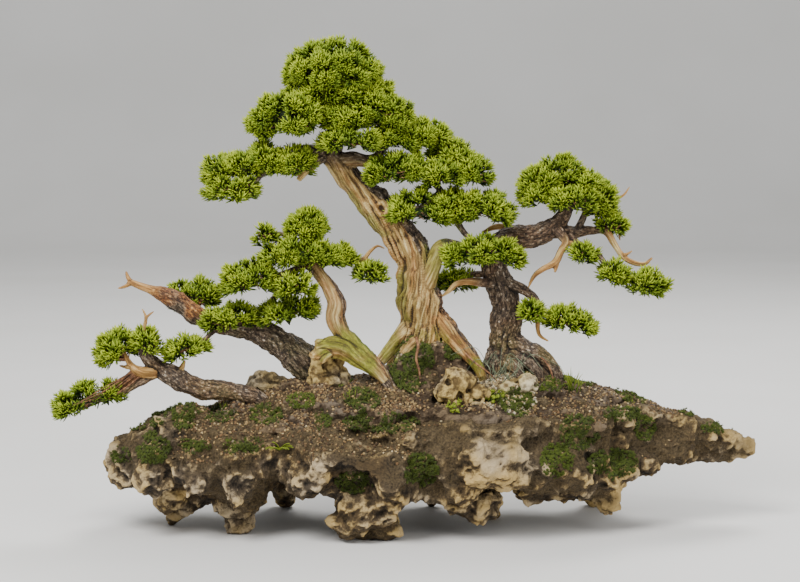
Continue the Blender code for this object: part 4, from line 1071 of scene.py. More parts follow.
# Moss patches as seen from the front in millimetres (left, right, low, high), and how bright each is
MOSS_PATCHES = (
    (-262, -238, 140, 151, 0.4), (-252, -222, 110, 141, 0.4), (-304, -282, 108, 117, 0.4),
    (-319, -296, 73, 90, 0.3), (-289, -253, 75, 107, 0.35), (-242, -209, 88, 100, 0.4),
    (-196, -178, 88, 103, 0.6), (-178, -152, 88, 103, 0.3), (-169, -132, 117, 136, 0.4),
    (-128, -97, 134, 148, 0.7), (-97, -81, 108, 134, 0.3), (-67, 13, 109, 129, 0.3),
    (-84, -59, 156, 173, 0.7), (-75, -35, 44, 68, 0.35), (-3, 34, 52, 88, 0.4), (62, 79, 140, 156, 0.5),
    (84, 103, 139, 152, 0.6), (101, 139, 125, 154, 0.5), (125, 189, 152, 172, 0.75),
    (186, 222, 154, 176, 0.6), (235, 277, 136, 156, 0.5), (297, 328, 123, 141, 0.5),
    (249, 273, 97, 123, 0.5), (165, 207, 90, 125, 0.3), (143, 177, 62, 96, 0.7), (194, 251, 57, 88, 0.4),
    (66, 95, 183, 200, 0.8), (-18, 29, 150, 222, 0.35), (-172, -125, 163, 189, 0.3),
    (37, 70, 185, 215, 0.4), (109, 158, 178, 209, 0.3), (-67, -29, 132, 154, 0.35),
    (-221, -183, 119, 134, 0.25), (323, 378, 103, 114, 0.5), (-282, -260, 114, 127, 0.3),
    (213, 257, 119, 132, 0.4),
)
# Moss on the back and top: middle x and y, and radius, in millimetres, and how bright
BACK_MOSS = (
    (-210, 40, 24, 0.4), (-150, 74, 20, 0.5), (-90, 62, 26, 0.3), (-40, 90, 22, 0.6), (30, 70, 24, 0.4),
    (90, 84, 20, 0.5), (150, 66, 26, 0.3), (210, 58, 22, 0.6), (262, 40, 18, 0.4), (320, 26, 14, 0.5),
    (-270, 10, 16, 0.4), (60, 40, 16, 0.4), (-120, 26, 18, 0.5), (180, 20, 18, 0.6), (0, 40, 18, 0.4),
)
MOSS_NODES = ("left_moss", "middle_moss", "hollow_moss", "ledge_moss", "crest_moss", "far_moss")


class GROVE_OT_moss(bpy.types.Operator):
    """Moss in cushions and thin patches over the slab, the mound and the root bases"""

    bl_idname = "grove.moss"
    bl_label = "Moss"

    def execute(self, context):
        sizes = context.scene.grove_sizes
        rng = np.random.default_rng(SEEDS["moss"])
        ground = Ground()
        points, faces, tips = model_tuft(height=0.0028, radius=0.00060, blades=5, lean=36)
        groups = {name: [] for name in MOSS_NODES}
        middles = {name: (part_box(name)[0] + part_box(name)[1]) / 2 for name in MOSS_NODES}
        for x0, x1, z0, z1, bright in MOSS_PATCHES:
            count = int((x1 - x0) * (z1 - z0) * MOSS_PER_MM2 * sizes.moss_cover)
            starts = front_starts(rng, x0 - 1, x1 + 1, z0 - 1, z1 + 1, count, oval=True)
            places, normals = ground.hits(starts, FRONT_WAY)
            groups_add(groups, middles, places, normals, bright)
        for x, y, radius, bright in BACK_MOSS:
            count = int(radius * radius * 3 * MOSS_PER_MM2 * sizes.moss_cover)
            turn, reach = rng.uniform(0, 2 * math.pi, count), radius * np.sqrt(rng.uniform(0, 1, count))
            starts = np.stack([(x + reach * np.cos(turn)) * MM, (y + reach * np.sin(turn)) * MM,
                               np.full(count, DROP_HEIGHT)], axis=1)
            places, normals = ground.hits(starts, FROM_ABOVE)
            groups_add(groups, middles, places, normals, bright)
        for name, found in groups.items():
            places = np.concatenate([f[0] for f in found])
            normals = np.concatenate([f[1] for f in found])
            bright = np.concatenate([np.full(len(f[0]), f[2]) for f in found])
            broken = fractal(places, 0.014, 3, 8.0)
            keep = broken > rng.uniform(-0.50, 0.05, len(places))
            places, normals, bright, broken = places[keep], normals[keep], bright[keep], broken[keep]
            mound = 0.0034 * np.clip(broken + 0.25, 0, 1)
            lean = unit(normals + (0, 0, 0.35) + rng.normal(0, 0.28, normals.shape))
            size = rng.uniform(0.78, 1.18, len(places))
            where = places + normals * (mound - 0.0006)[:, None]
            spots, tris = scatter(points, faces, frames_along(lean, rng), size, where)
            grains, sides = model_lump()
            pad = rng.random(len(places)) < MOSS_BED
            bed_turn = frames_along(normals[pad], rng) * np.array((1.0, 1.0, 0.55))[None, None, :]
            bed, bed_faces = scatter(grains, sides, bed_turn, rng.uniform(0.0012, 0.0022, pad.sum()),
                                     (places + normals * (mound * 0.5)[:, None])[pad])
            piece = mesh_piece(name + "_skin", *joined([(spots, tris), (bed, bed_faces)]),
                               material_for(moss_leaf))
            shade = np.clip(bright + rng.normal(0, 0.15, len(places)), 0.02, 0.98)
            # The leaves run on the palette from dark at their feet to bright at their tips; the dark feet are
            # painted shade.
            along = np.tile(tips * 0.94 + 0.03, len(places))
            along = along * np.repeat(rng.uniform(0.65, 1.0, len(places)), len(points))
            leaf_up = np.repeat(shade, len(points)) + np.tile(points[:, 0] * 4, len(places))
            leaf_spots = np.stack([along, leaf_up], axis=1)
            # Painted shade: the grains under the tufts take a dark green.
            bed_along = np.full(len(bed), 0.22) + np.tile(grains[:, 2] * 0.1, pad.sum())
            bed_up = np.repeat(shade[pad], len(grains)) + np.tile(grains[:, 0] * 0.01, pad.sum())
            bed_spots = np.stack([bed_along, bed_up], axis=1)
            set_palette(piece, np.concatenate([leaf_spots, bed_spots]))
            settle(piece, "moss", name)
        return {"FINISHED"}


def groups_add(groups, middles, places, normals, bright):
    """Gives a patch to the moss piece whose CAD cushion is nearest."""
    if len(places) == 0:
        return
    middle = Vector(places.mean(0))
    nearest = min(middles, key=lambda name: (middles[name] - middle).length)
    groups[nearest].append((places, normals, bright))


# ---------------------------------------------------------------- the trees' wood
def smooth_limb(points, lift, step=2.5):
    """Points about step millimetres apart on a smooth line through a limb's drawn points, in metres."""
    drawn = np.array(points, dtype=float)
    drawn[:, 2] += lift
    padded = np.vstack([2 * drawn[0] - drawn[1], drawn, 2 * drawn[-1] - drawn[-2]])
    line = []
    for i in range(1, len(padded) - 2):
        a, b, c, d = padded[i - 1:i + 3]
        pieces = max(2, int(np.linalg.norm(c[:3] - b[:3]) / step))
        for t in np.arange(pieces) / pieces:
            line.append(0.5 * (2 * b + (c - a) * t + (2 * a - 5 * b + 4 * c - d) * t**2
                               + (3 * b - a - 3 * c + d) * t**3))
    line.append(padded[-2])
    line = np.array(line)
    line[:, 3] = np.maximum(line[:, 3], 0.5)
    return line * MM


def limb_mesh(name, line):
    """A closed round tube along a limb's line of (x, y, z, radius)."""
    curve = bpy.data.curves.new(name, "CURVE")
    curve.dimensions = "3D"
    curve.bevel_depth = 1.0
    curve.bevel_resolution = 4
    curve.use_fill_caps = True
    run = curve.splines.new("POLY")
    run.points.add(len(line) - 1)
    run.points.foreach_set("co", np.hstack([line[:, :3], np.ones((len(line), 1))]).ravel())
    run.points.foreach_set("radius", line[:, 3])
    limb = bpy.data.objects.new(name, curve)
    bpy.context.scene.collection.objects.link(limb)
    make_active(limb)
    bpy.ops.object.convert(target="MESH")
    return bpy.context.object


def limb_frames(line):
    """Directions along a limb's line, and two more across it that turn with it without twisting."""
    along = unit(np.gradient(line[:, :3], axis=0))
    across = np.empty_like(along)
    start = np.cross(along[0], (0.0, 1.0, 0.0))
    across[0] = unit(start if np.linalg.norm(start) > 0.1 else np.cross(along[0], (1.0, 0.0, 0.0)))
    for i in range(1, len(along)):
        across[i] = unit(across[i - 1] - along[i] * np.dot(across[i - 1], along[i]))
    return along, across, np.cross(along, across)


def nearest_on_limbs(points, table):
    """For each point, the row of the limb table whose round surface is nearest."""
    best = np.empty(len(points), dtype=int)
    for start in range(0, len(points), LIMB_BATCH):
        chunk = points[start:start + LIMB_BATCH]
        gap = np.linalg.norm(chunk[:, None] - table["place"][None], axis=2) - table["radius"][None]
        best[start:start + LIMB_BATCH] = np.argmin(gap, axis=1)
    return best


def limb_table(limbs, lines):
    keys = ("place", "radius", "along", "across", "over", "length", "dead", "first")
    rows = {key: [] for key in keys}
    for number, ((starts, ends), _) in enumerate(limbs):
        line = lines[number]
        along, across, over = limb_frames(line)
        steps = np.linalg.norm(np.diff(line[:, :3], axis=0), axis=1)
        length = np.concatenate([[0], np.cumsum(steps)])
        rows["place"].append(line[:, :3])
        rows["radius"].append(line[:, 3])
        rows["along"].append(along)
        rows["across"].append(across)
        rows["over"].append(over)
        rows["length"].append(length + number * 0.37)
        rows["dead"].append(smoothstep(length / length[-1], starts, ends))
        rows["first"].append(np.full(len(line), number == 0))
    return {key: np.concatenate(value) for key, value in rows.items()}


class GROVE_OT_wood(bpy.types.Operator):
    """The five trees' trunks, roots, branches and bare dead branches, each tree one skin"""

    bl_idname = "grove.wood"
    bl_label = "Trunks and branches"

    def execute(self, context):
        sizes = context.scene.grove_sizes
        for order, (name, plan) in enumerate(TREES.items()):
            lines = [smooth_limb(points, plan["lift"]) for _, points in plan["limbs"]]
            rough = []
            for number, line in enumerate(lines):
                swing = fractal(line[:, :3], 0.020, 2, order + number)
                rough.append(np.hstack([line[:, :3], line[:, 3:] * (1 + 0.16 * swing[:, None])]))
            limbs = [limb_mesh(f"{name}_{i}", line) for i, line in enumerate(rough)]
            wood = merge(limbs, name + "_wood_skin")
            remesh(wood, sizes.wood_detail)
            table = limb_table(plan["limbs"], lines)
            points, normals = points_of(wood), normals_of(wood)
            row = nearest_on_limbs(points, table)
            away = (points - table["place"][row]) / MM
            radius = table["radius"][row] / MM
            length = table["length"][row] / MM
            twist = length * 0.012
            a = np.einsum("ij,ij->i", away, table["across"][row])
            b = np.einsum("ij,ij->i", away, table["over"][row])
            a, b = a * np.cos(twist) + b * np.sin(twist), b * np.cos(twist) - a * np.sin(twist)
            grain = np.stack([a, b, length * 0.06], axis=1)
            trunk = table["first"][row].astype(float)
            dead = table["dead"][row].copy()
            wound = np.stack([a / radius * 9, b / radius * 9, length * 0.10], axis=1)
            bands = fractal(wound, 7.0, 2, order * 5.0)
            higher = 0.45 * smoothstep(points[:, 2], 0.300, 0.365)
            vein = smoothstep(normals @ unit(np.array((0.80, 0.45, 0.35))) + higher + 0.5 * bands, 0.30, 0.50)
            low_down = smoothstep(points[:, 2], 0.415, 0.385)
            bare = plan["stripes"] * np.maximum(trunk, radius > 5.5) * low_down * (1 - vein)
            dead = np.maximum(dead, bare)
            lobes = fractal(np.stack([a / radius * 10, b / radius * 10, length * 0.07], axis=1), 9.0, 2, 2.0)
            cords = ridges(grain * (1, 1, 0.7), 8.5, 2, order) - 1
            lines_fine = ridges(grain * (1, 1, 0.5), 3.6, 1, 4.0) - 1
            flakes = smoothstep(cells(grain * (1, 1, 7), 4.2, order)[:, 0], 0.15, 0.75)
            knobs = fractal(grain * (1, 1, 9), 6.0, 2, 5.0)
            reach = np.clip(radius / 12, 0.05, 1.6)
            push = 2.0 * reach * lobes + reach * dead * (2.6 * cords + 0.5 * lines_fine + 0.7)
            push += (1 - dead) * reach * (1.3 * (0.5 - flakes) + 0.8 * knobs + 0.3 * cords)
            painted_knot_shade = np.zeros(len(points))
            for x, z, size in plan.get("knots", ()):
                column = np.hypot(points[:, 0] / MM - x, points[:, 2] / MM - z) < 3
                if not column.any():
                    raise RuntimeError(f"{name} has no wood at its knot {x}, {z}")
                y = points[column, 1].min() / MM
                near = np.linalg.norm(points / MM - (x, y, z), axis=1) / size
                push += 3.4 * np.exp(-((near - 0.70) / 0.32) ** 2) - 1.6 * np.exp(-(near / 0.40) ** 2)
                dead = np.clip(dead + smoothstep(near, 1.3, 0.9), 0, 1)
                # The knot's hollow middle is marked for painted shade.
                painted_knot_shade = np.maximum(painted_knot_shade, smoothstep(near, 0.75, 0.25))
            points += normals * (push * MM)[:, None]
            set_points(wood, points)
            dress(wood, material_for(juniper_wood))
            patch = fractal(points, 0.03, 2, order + 3.0)
            red = plan["red"] * smoothstep(patch, -0.35, 0.25)
            if name == "leaning_tree":
                red *= smoothstep(points[:, 0], -0.190, -0.225)
            if name == "main_tree":
                red *= smoothstep(points[:, 0], 0.020, 0.040) * smoothstep(points[:, 2], 0.32, 0.27)
            low = smoothstep(points[:, 2], 0.245, 0.19) * smoothstep(patch, -0.15, 0.35)
            if name == "middle_tree":
                stub = reach_from(points, (-0.070, -0.053, 0.203), (0.040, 0.018, 0.022))
                low = np.maximum(low, smoothstep(stub, 1.4, 0.6) * smoothstep(normals[:, 2], -0.5, 0.2))
                low *= smoothstep(points[:, 0], -0.103, -0.090)
            if name == "main_tree":
                stub = reach_from(points, (0.033, -0.014, 0.298), (0.014, 0.014, 0.030))
                low = np.maximum(low, 0.8 * smoothstep(stub, 1.4, 0.7))
                left_side = smoothstep(-normals[:, 0], 0.1, 0.8) * smoothstep(points[:, 2], 0.43, 0.39)
                low = np.maximum(low, 0.75 * left_side * smoothstep(patch, -0.20, 0.20))
            set_attribute(wood, "grain", grain)
            # relief is low in hollows and at the knots' middles, where the wood's colour darkens it as
            # painted shade.
            set_attribute(wood, "relief", np.clip(0.6 + proud(wood, 5) / 0.0011 - 0.35 * painted_knot_shade, 0, 1))
            set_attribute(wood, "dead", np.clip(dead, 0, 1))
            set_attribute(wood, "red", red)
            set_attribute(wood, "algae", np.clip(plan["algae"] * low, 0, 1))
            settle(wood, "wood", name + "_wood")
        return {"FINISHED"}


# ---------------------------------------------------------------- foliage
class Pad:
    """A foliage pad's middle, radii and dip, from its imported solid."""

    def __init__(self, node, clump=None):
        low, high = (np.array(corner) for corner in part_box(node))
        self.middle = (low + high) / 2
        rise = (high[2] - low[2]) / 1.5
        self.middle[2] = high[2] - rise
        across = (high - low) / 2
        self.radii = np.array((across[0], across[1], rise))
        if clump:
            self.middle, self.radii = np.array(clump[0]) * MM, np.array(clump[1]) * MM
        dip = math.radians(DIPS.get(node, 0))
        level, fall = math.cos(dip), math.sin(dip)
        self.turn = np.array(((level, 0, fall), (0, 1, 0), (-fall, 0, level)))

    def area(self):
        x, y, z = self.radii
        mean = (((x * y) ** 1.6 + (x * z) ** 1.6 + (y * z) ** 1.6) / 3) ** (1 / 1.6)
        return 2 * math.pi * mean

    def world(self, points):
        return points @ self.turn.T + self.middle


# Further clumps that join pads into one head, on a pad: (middle), (radii) in millimetres
JOINING_CLUMPS = {
    "main_crown_top": (((-64, -20, 500), (22, 18, 13)), ((-88, -8, 474), (34, 30, 21)),
                       ((-56, -6, 476), (34, 30, 20))),
    "main_crown_left": (((-92, -16, 446), (32, 26, 20)), ((-134, -14, 440), (30, 26, 17))),
    "main_crown_front": (((-64, -16, 449), (32, 24, 18)),),
    "main_crown_right": (((-22, -2, 449), (30, 28, 19)), ((-40, 0, 478), (28, 28, 16))),
    "main_right_shoulder": (((-12, -12, 425), (26, 22, 14)), ((26, 6, 430), (24, 24, 17))),
    "main_right_slope": (((58, 4, 405), (22, 22, 17)),),
    "main_inner_right": (((12, -12, 392), (24, 22, 17)),),
    "main_hanging_inner": (((50, -14, 352), (26, 26, 20)),),
    "main_left_near": (((-136, -12, 398), (22, 20, 16)),),
    "main_left_upper": (((-176, -8, 396), (22, 22, 16)),),
    "middle_upper": (((-132, -44, 301), (26, 22, 16)), ((-88, -40, 300), (24, 20, 13))),
    "middle_top": (((-110, -32, 328), (20, 20, 14)),),
    "right_crown_top": (((150, 0, 378), (24, 24, 18)), ((190, 0, 375), (26, 24, 18))),
    "right_tip": (((214, 2, 349), (18, 18, 13)),),
}


def pad_nodes():
    return [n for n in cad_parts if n.split("_")[0] in PAD_TREES and not n.endswith(("_wood", "_moss"))
            and "stone" not in n]


def grow_pad(pad, rng, sizes, inner=False):
    """Shoots in rounded clumps over a pad, as arrays of directions, sizes, places and brightness. The
    brightness is painted light: shoots on the crowns of clumps are lighter, and those between clumps, under
    the pad and inside it are darker, as painted shade.
    """
    count = int(pad.area() * sizes.shoot_cover * (INNER_SHOOTS if inner else 1))
    up = rng.uniform(-0.50, 1.0, count)
    turn = rng.uniform(0, 2 * math.pi, count)
    ring = np.sqrt(1 - up**2)
    ways = np.stack([ring * np.cos(turn), ring * np.sin(turn), up], axis=1)
    radii = np.where(up[:, None] < 0, pad.radii * (1, 1, 0.75), pad.radii)
    surface = ways * radii
    normal = unit(ways / radii)
    clumps = max(7, int(pad.area() / sizes.clump_size**2))
    spiral = np.arange(clumps) + 0.5
    clump_up = np.clip(1 - 1.35 * spiral / clumps + rng.normal(0, 0.07, clumps), -0.35, 1)
    clump_turn = spiral * GOLDEN_ANGLE + rng.normal(0, 0.45, clumps)
    clump_ring = np.sqrt(1 - clump_up**2)
    middles = np.stack([clump_ring * np.cos(clump_turn), clump_ring * np.sin(clump_turn), clump_up], axis=1)
    middles *= pad.radii * rng.uniform(0.92, 1.10, (clumps, 1))
    roots = middles - unit(middles / pad.radii) * sizes.shoot_length * 0.9
    gaps = np.linalg.norm(surface[:, None] - middles[None], axis=2) * rng.uniform(0.85, 1.15, clumps)
    nearest = np.argmin(gaps, axis=1)
    bump = np.clip(1 - (gaps[np.arange(count), nearest] / (0.60 * sizes.clump_size))**2, -1.3, 1)
    low = smoothstep(-up, -0.05, 0.45)
    outward = 0.25 * normal + unit(surface - roots[nearest]) + (0, 0, 0.35)
    way = unit(outward + rng.normal(0, 0.17, (count, 3)))
    size = rng.uniform(0.62, 1.22, count) * (1 - 0.20 * low)
    tip = surface + normal * (0.0030 + 0.0050 * bump + rng.normal(0, 0.0013, count) - 0.0015 * low)[:, None]
    place = tip - way * (sizes.shoot_length * size)[:, None]
    keep = bump > rng.uniform(-1.5, -0.4, count)
    # Painted light: shoots on a clump's crown are lighter, and those between clumps and under the pad are
    # darker, as painted shade.
    bright = np.clip(0.66 + 0.26 * bump + rng.normal(0, 0.14, count) - 0.35 * low, 0.05, 1)
    if inner:
        place -= normal * sizes.shoot_length * 0.55
        # Painted shade: the shoots inside the pad are darkened.
        bright *= 0.35
        keep[:] = True
    return way[keep] @ pad.turn.T, size[keep], pad.world(place[keep]), bright[keep]


class GROVE_OT_foliage(bpy.types.Operator):
    """The clipped pads of scale-leaved shoots"""

    bl_idname = "grove.foliage"
    bl_label = "Foliage pads"

    def execute(self, context):
        sizes = context.scene.grove_sizes
        points, faces, tips = model_shoot(sizes.shoot_length, sizes.shoot_thickness / 2)
        heart, heart_faces = model_lump(3)
        for number, node in enumerate(pad_nodes()):
            rng = np.random.default_rng(SEEDS["foliage"] + number)
            pads = [Pad(node)] + [Pad(node, clump) for clump in JOINING_CLUMPS.get(node, ())]
            grown = [grow_pad(pad, rng, sizes) for pad in pads] + [grow_pad(pads[0], rng, sizes, inner=True)]
            ways, size, places, bright = (np.concatenate(part) for part in zip(*grown))
            spots, tris = scatter(points, faces, frames_along(ways, rng), size, places)
            # The core: a lump that fills the pad's inside so that no gap shows through, coloured below as
            # painted shade.
            deep = np.maximum(pads[0].radii - 1.05 * sizes.shoot_length, 0.16 * pads[0].radii)
            core = heart * deep * np.where(heart[:, 2:3] < 0, (1, 1, 0.35), (1, 1, 0.95))
            core = pads[0].world(core * (1 + 0.22 * fractal(heart, 0.45, 2, number))[:, None])
            piece = mesh_piece(node + "_shoots", *joined([(spots, tris), (core, heart_faces)]),
                               material_for(juniper_foliage))
            # Each shoot's brightness is painted light: it draws a shaded shoot's spots towards the dark end
            # of the palette and makes lit shoots yellower.
            light = np.repeat(bright, len(points))
            along = np.tile(tips, len(places)) * (0.50 + 0.50 * light)
            kind = np.repeat(rng.random(len(places)), len(points))
            yellow = np.clip(0.25 + 0.5 * kind + 0.25 * light, 0, 1)
            yellow = yellow + np.tile(points[:, 0] * 2.5, len(places))
            # Painted shade: the core takes the darkest green of the palette.
            shade = np.full(len(core), 0.03) + 0.04 * rng.random(len(core))
            core_spots = np.stack([shade, 0.5 + 0.4 * heart[:, 0]], axis=1)
            palette = np.concatenate([np.stack([along, yellow], axis=1), core_spots])
            set_palette(piece, palette, margin=0.004)
            settle(piece, "foliage", node)
        return {"FINISHED"}


def tube_points(line, sides, roll=0.0):
    """Rings of points round a line of (x, y, z, radius), with its faces; both ends are closed."""
    _, across, over = limb_frames(line)
    turn = np.arange(sides) * 2 * math.pi / sides + roll
    ring = across[:, None] * np.cos(turn)[None, :, None] + over[:, None] * np.sin(turn)[None, :, None]
    points = (line[:, None, :3] + ring * line[:, None, 3:]).reshape(-1, 3)
    points = np.vstack([points, line[0, :3], line[-1, :3]])
    faces = []
    for i in range(len(line) - 1):
        for j in range(sides):
            k = (j + 1) % sides
            a, b, c, d = i * sides + j, i * sides + k, (i + 1) * sides + j, (i + 1) * sides + k
            faces += [(a, b, d), (a, d, c)]
    last = (len(line) - 1) * sides
    for j in range(sides):
        k = (j + 1) % sides
        faces += [(k, j, len(points) - 2), (last + j, last + k, len(points) - 1)]
    return points, np.array(faces)


class GROVE_OT_twigs(bpy.types.Operator):
    """The fine twigs that spread from each branch under its pads"""

    bl_idname = "grove.twigs"
    bl_label = "Twigs"

    def execute(self, context):
        for order, (name, plan) in enumerate(TREES.items()):
            rng = np.random.default_rng(SEEDS["twigs"] + order)
            branches = [points for _, points in plan["limbs"][1:] if points[-1][2] > TWIG_LIMBS_ABOVE]
            lines = [smooth_limb(points, plan["lift"]) for points in branches]
            lines = np.concatenate(lines + [smooth_limb(plan["limbs"][0][1], plan["lift"])[-10:]])
            tubes = []
            for node in pad_nodes():
                if PAD_TREES[node.split("_")[0]] != name:
                    continue
                pad = Pad(node)
                away = np.linalg.norm((lines[:, :3] - pad.middle) / pad.radii, axis=1)
                near = lines[np.argsort(away)[:6], :3]
                for _ in range(int(10 + pad.area() / 0.00035)):
                    turn, up = rng.uniform(0, 2 * math.pi), rng.uniform(-0.35, 0.45)
                    ring = math.sqrt(1 - up * up)
                    way = np.array((ring * math.cos(turn), ring * math.sin(turn), up))
                    end = pad.world((way * pad.radii * rng.uniform(0.62, 0.85))[None])[0]
                    begin = near[rng.integers(len(near))]
                    middle = (begin + end) / 2 + rng.normal(0, 0.06, 3) * np.linalg.norm(end - begin)
                    middle[2] -= 0.12 * np.linalg.norm(end - begin)
                    t = np.linspace(0, 1, 6)[:, None]
                    path = (1 - t)**2 * begin + 2 * t * (1 - t) * middle + t**2 * end
                    width = np.linspace(rng.uniform(0.9, 1.5), 0.45, 6)[:, None] * MM
                    tubes.append(tube_points(np.hstack([path, width]), 4))
            piece = mesh_piece(name + "_twigs", *joined(tubes), material_for(twig_bark))
            settle(piece, "wood", name + "_wood")
        return {"FINISHED"}


# ---------------------------------------------------------------- small plants
# Grass: x and y in millimetres, how many blades, and their length
GRASS_TUFTS = ((182, -22, 26, 0.036), (108, -52, 12, 0.020), (246, -4, 9, 0.014), (-60, -62, 8, 0.013),
               (-196, -40, 8, 0.012), (60, 52, 14, 0.018))
# The fern: where it grows as seen from the front in millimetres, how many fronds, and their length
FERNS = ((-134, 90, 9, 0.020),)
# Leafy cushions as seen from the front in millimetres (left, right, low, high), and how many leaves
LEAFY_CUSHIONS = ((41, 62, 130, 150, 150), (84, 103, 140, 150, 40))


class GROVE_OT_herbs(bpy.types.Operator):
    """The grass tuft, the little fern and the leafy cushion plant"""

    bl_idname = "grove.herbs"
    bl_label = "Small plants"

    def execute(self, context):
        rng = np.random.default_rng(SEEDS["herbs"])
        ground = Ground()
        parts, spots = [], []

        def add(points, faces, palette):
            parts.append((points, faces))
            spots.append(palette)

        def blade(begin, way, length, width, droop, tone):
            t = np.linspace(0, 1, 6)[:, None]
            path = begin + way * length * t + np.array((0, 0, -droop * length)) * t**2
            taper = width * (1 - t**2) * 0.5 + 0.00012
            points, faces = tube_points(np.hstack([path, taper]), 3)
            along = np.concatenate([np.repeat(t[:, 0], 3), [0, 1]])
            tones = np.full(len(points), tone) + rng.uniform(-0.02, 0.02, len(points))
            # The blades run on the moss's colours from darker at their base to bright at their tips; the
            # darker base is painted shade.
            add(points, faces, np.stack([0.35 + 0.6 * along, tones], axis=1))

        for x, y, blades, length in GRASS_TUFTS:
            place, _ = ground.hits(np.array([(x * MM, y * MM, DROP_HEIGHT)]), FROM_ABOVE)
            if len(place) == 0:
                continue
            for _ in range(blades):
                turn, lean = rng.uniform(0, 2 * math.pi), rng.uniform(0.1, 0.75)
                way = np.array((math.cos(turn) * lean, math.sin(turn) * lean, 1.0))
                begin = place[0] + np.array((rng.normal(0, 0.003), rng.normal(0, 0.003), -0.002))
                blade(begin, way / np.linalg.norm(way), length * rng.uniform(0.6, 1.1), 0.0011,
                      rng.uniform(0.1, 0.5), 0.9)
        for x, z, count, length in FERNS:
            place, _ = ground.hits(front_starts(rng, x, x + 0.1, z, z + 0.1, 1), FRONT_WAY)
            if len(place) == 0:
                continue
            for number in range(count):
                turn = 2 * math.pi * number / count + rng.normal(0, 0.2)
                way = unit(np.array((math.cos(turn), -0.6 + 0.4 * math.sin(turn), 0.8)))
                for t in np.linspace(0.1, 1, 10):
                    spot = place[0] + way * length * t + np.array((0, 0, -0.4 * length)) * t * t
                    for side in (-1, 1):
                        cross = unit(np.cross(way, (0, 0, 1)) * side + way * 0.5)
                        blade(spot, cross, 0.0045 * (1.1 - t), 0.0016, 0.1, 0.95)
        grains, sides = model_lump()
        for x0, x1, z0, z1, count in LEAFY_CUSHIONS:
            places, normals = ground.hits(front_starts(rng, x0, x1, z0, z1, count, oval=True), FRONT_WAY)
            for place, normal in zip(places, normals):
                tilt = frames_along(np.array([normal + rng.normal(0, 0.6, 3)]), rng)
                leaf = np.array((1.0, 0.8, 0.22)) * 0.0024 * rng.uniform(0.7, 1.2)
                points = np.einsum("ij,vj->vi", tilt[0], grains * leaf) + place
                points = points + normal * rng.uniform(0.001, 0.008)
                tone = rng.uniform(0.8, 0.98)
                add(points, sides, np.stack([0.75 + 0.2 * grains[:, 0], tone + 0.01 * grains[:, 1]], axis=1))
        piece = mesh_piece("small_plants", *joined(parts), material_for(moss_leaf))
        set_palette(piece, np.concatenate(spots))
        settle(piece, "moss")
        return {"FINISHED"}


# ---------------------------------------------------------------- loose roots and strands
# Thin roots that hang free: (x, y, z, radius) points in millimetres
STRANDS = (
    ((11, -42, 214, 1.5), (13, -47, 204, 1.6), (11, -50, 192, 1.4), (14, -53, 180, 1.2), (15, -55, 170, 1.0)),
    ((64, -40, 196, 1.2), (76, -48, 186, 1.1), (90, -52, 176, 0.9), (98, -54, 168, 0.7)),
    ((148, -24, 190, 1.4), (156, -32, 180, 1.2), (160, -36, 168, 1.0)),
    ((-34, -48, 196, 1.1), (-26, -54, 184, 1.0), (-20, -58, 172, 0.8)),
)


class GROVE_OT_strands(bpy.types.Operator):
    """Thin roots that hang over the mound, and wiry pale strands beside the right tree"""

    bl_idname = "grove.strands"
    bl_label = "Loose roots"

    def execute(self, context):
        rng = np.random.default_rng(SEEDS["strands"])
        for name, maker in (("loose_roots", twig_bark), ("wiry_strands", pale_strand)):
            lines = [smooth_limb(points, 0, 3) for points in STRANDS]
            if name == "wiry_strands":
                lines = []
                for _ in range(STRAND_COUNT):
                    start = np.array((rng.uniform(90, 116), rng.uniform(-58, -44), rng.uniform(166, 172)))
                    swing = rng.normal(0, 1, 3) * (13, 6, 0)
                    peak = start + swing + (0, -2, rng.uniform(16, 40))
                    fall = peak + swing * 0.9 + (0, -3, -rng.uniform(4, 20))
                    middle = (start + peak) / 2 + rng.normal(0, 3, 3)
                    spots = [(*start, 0.45), (*middle, 0.42), (*peak, 0.36), (*fall, 0.3)]
                    lines.append(smooth_limb(spots, 0, 3))
                for line in lines:
                    line[:, 3] = np.linspace(0.00036, 0.00022, len(line))
            tubes = [tube_points(line, 6) for line in lines]
            piece = mesh_piece(name, *joined(tubes), material_for(maker))
            settle(piece, "wood")
        return {"FINISHED"}


# ---------------------------------------------------------------- the stage
LIGHTS_AIM = (0, 0, 0.25)
SENSOR_MM = 36


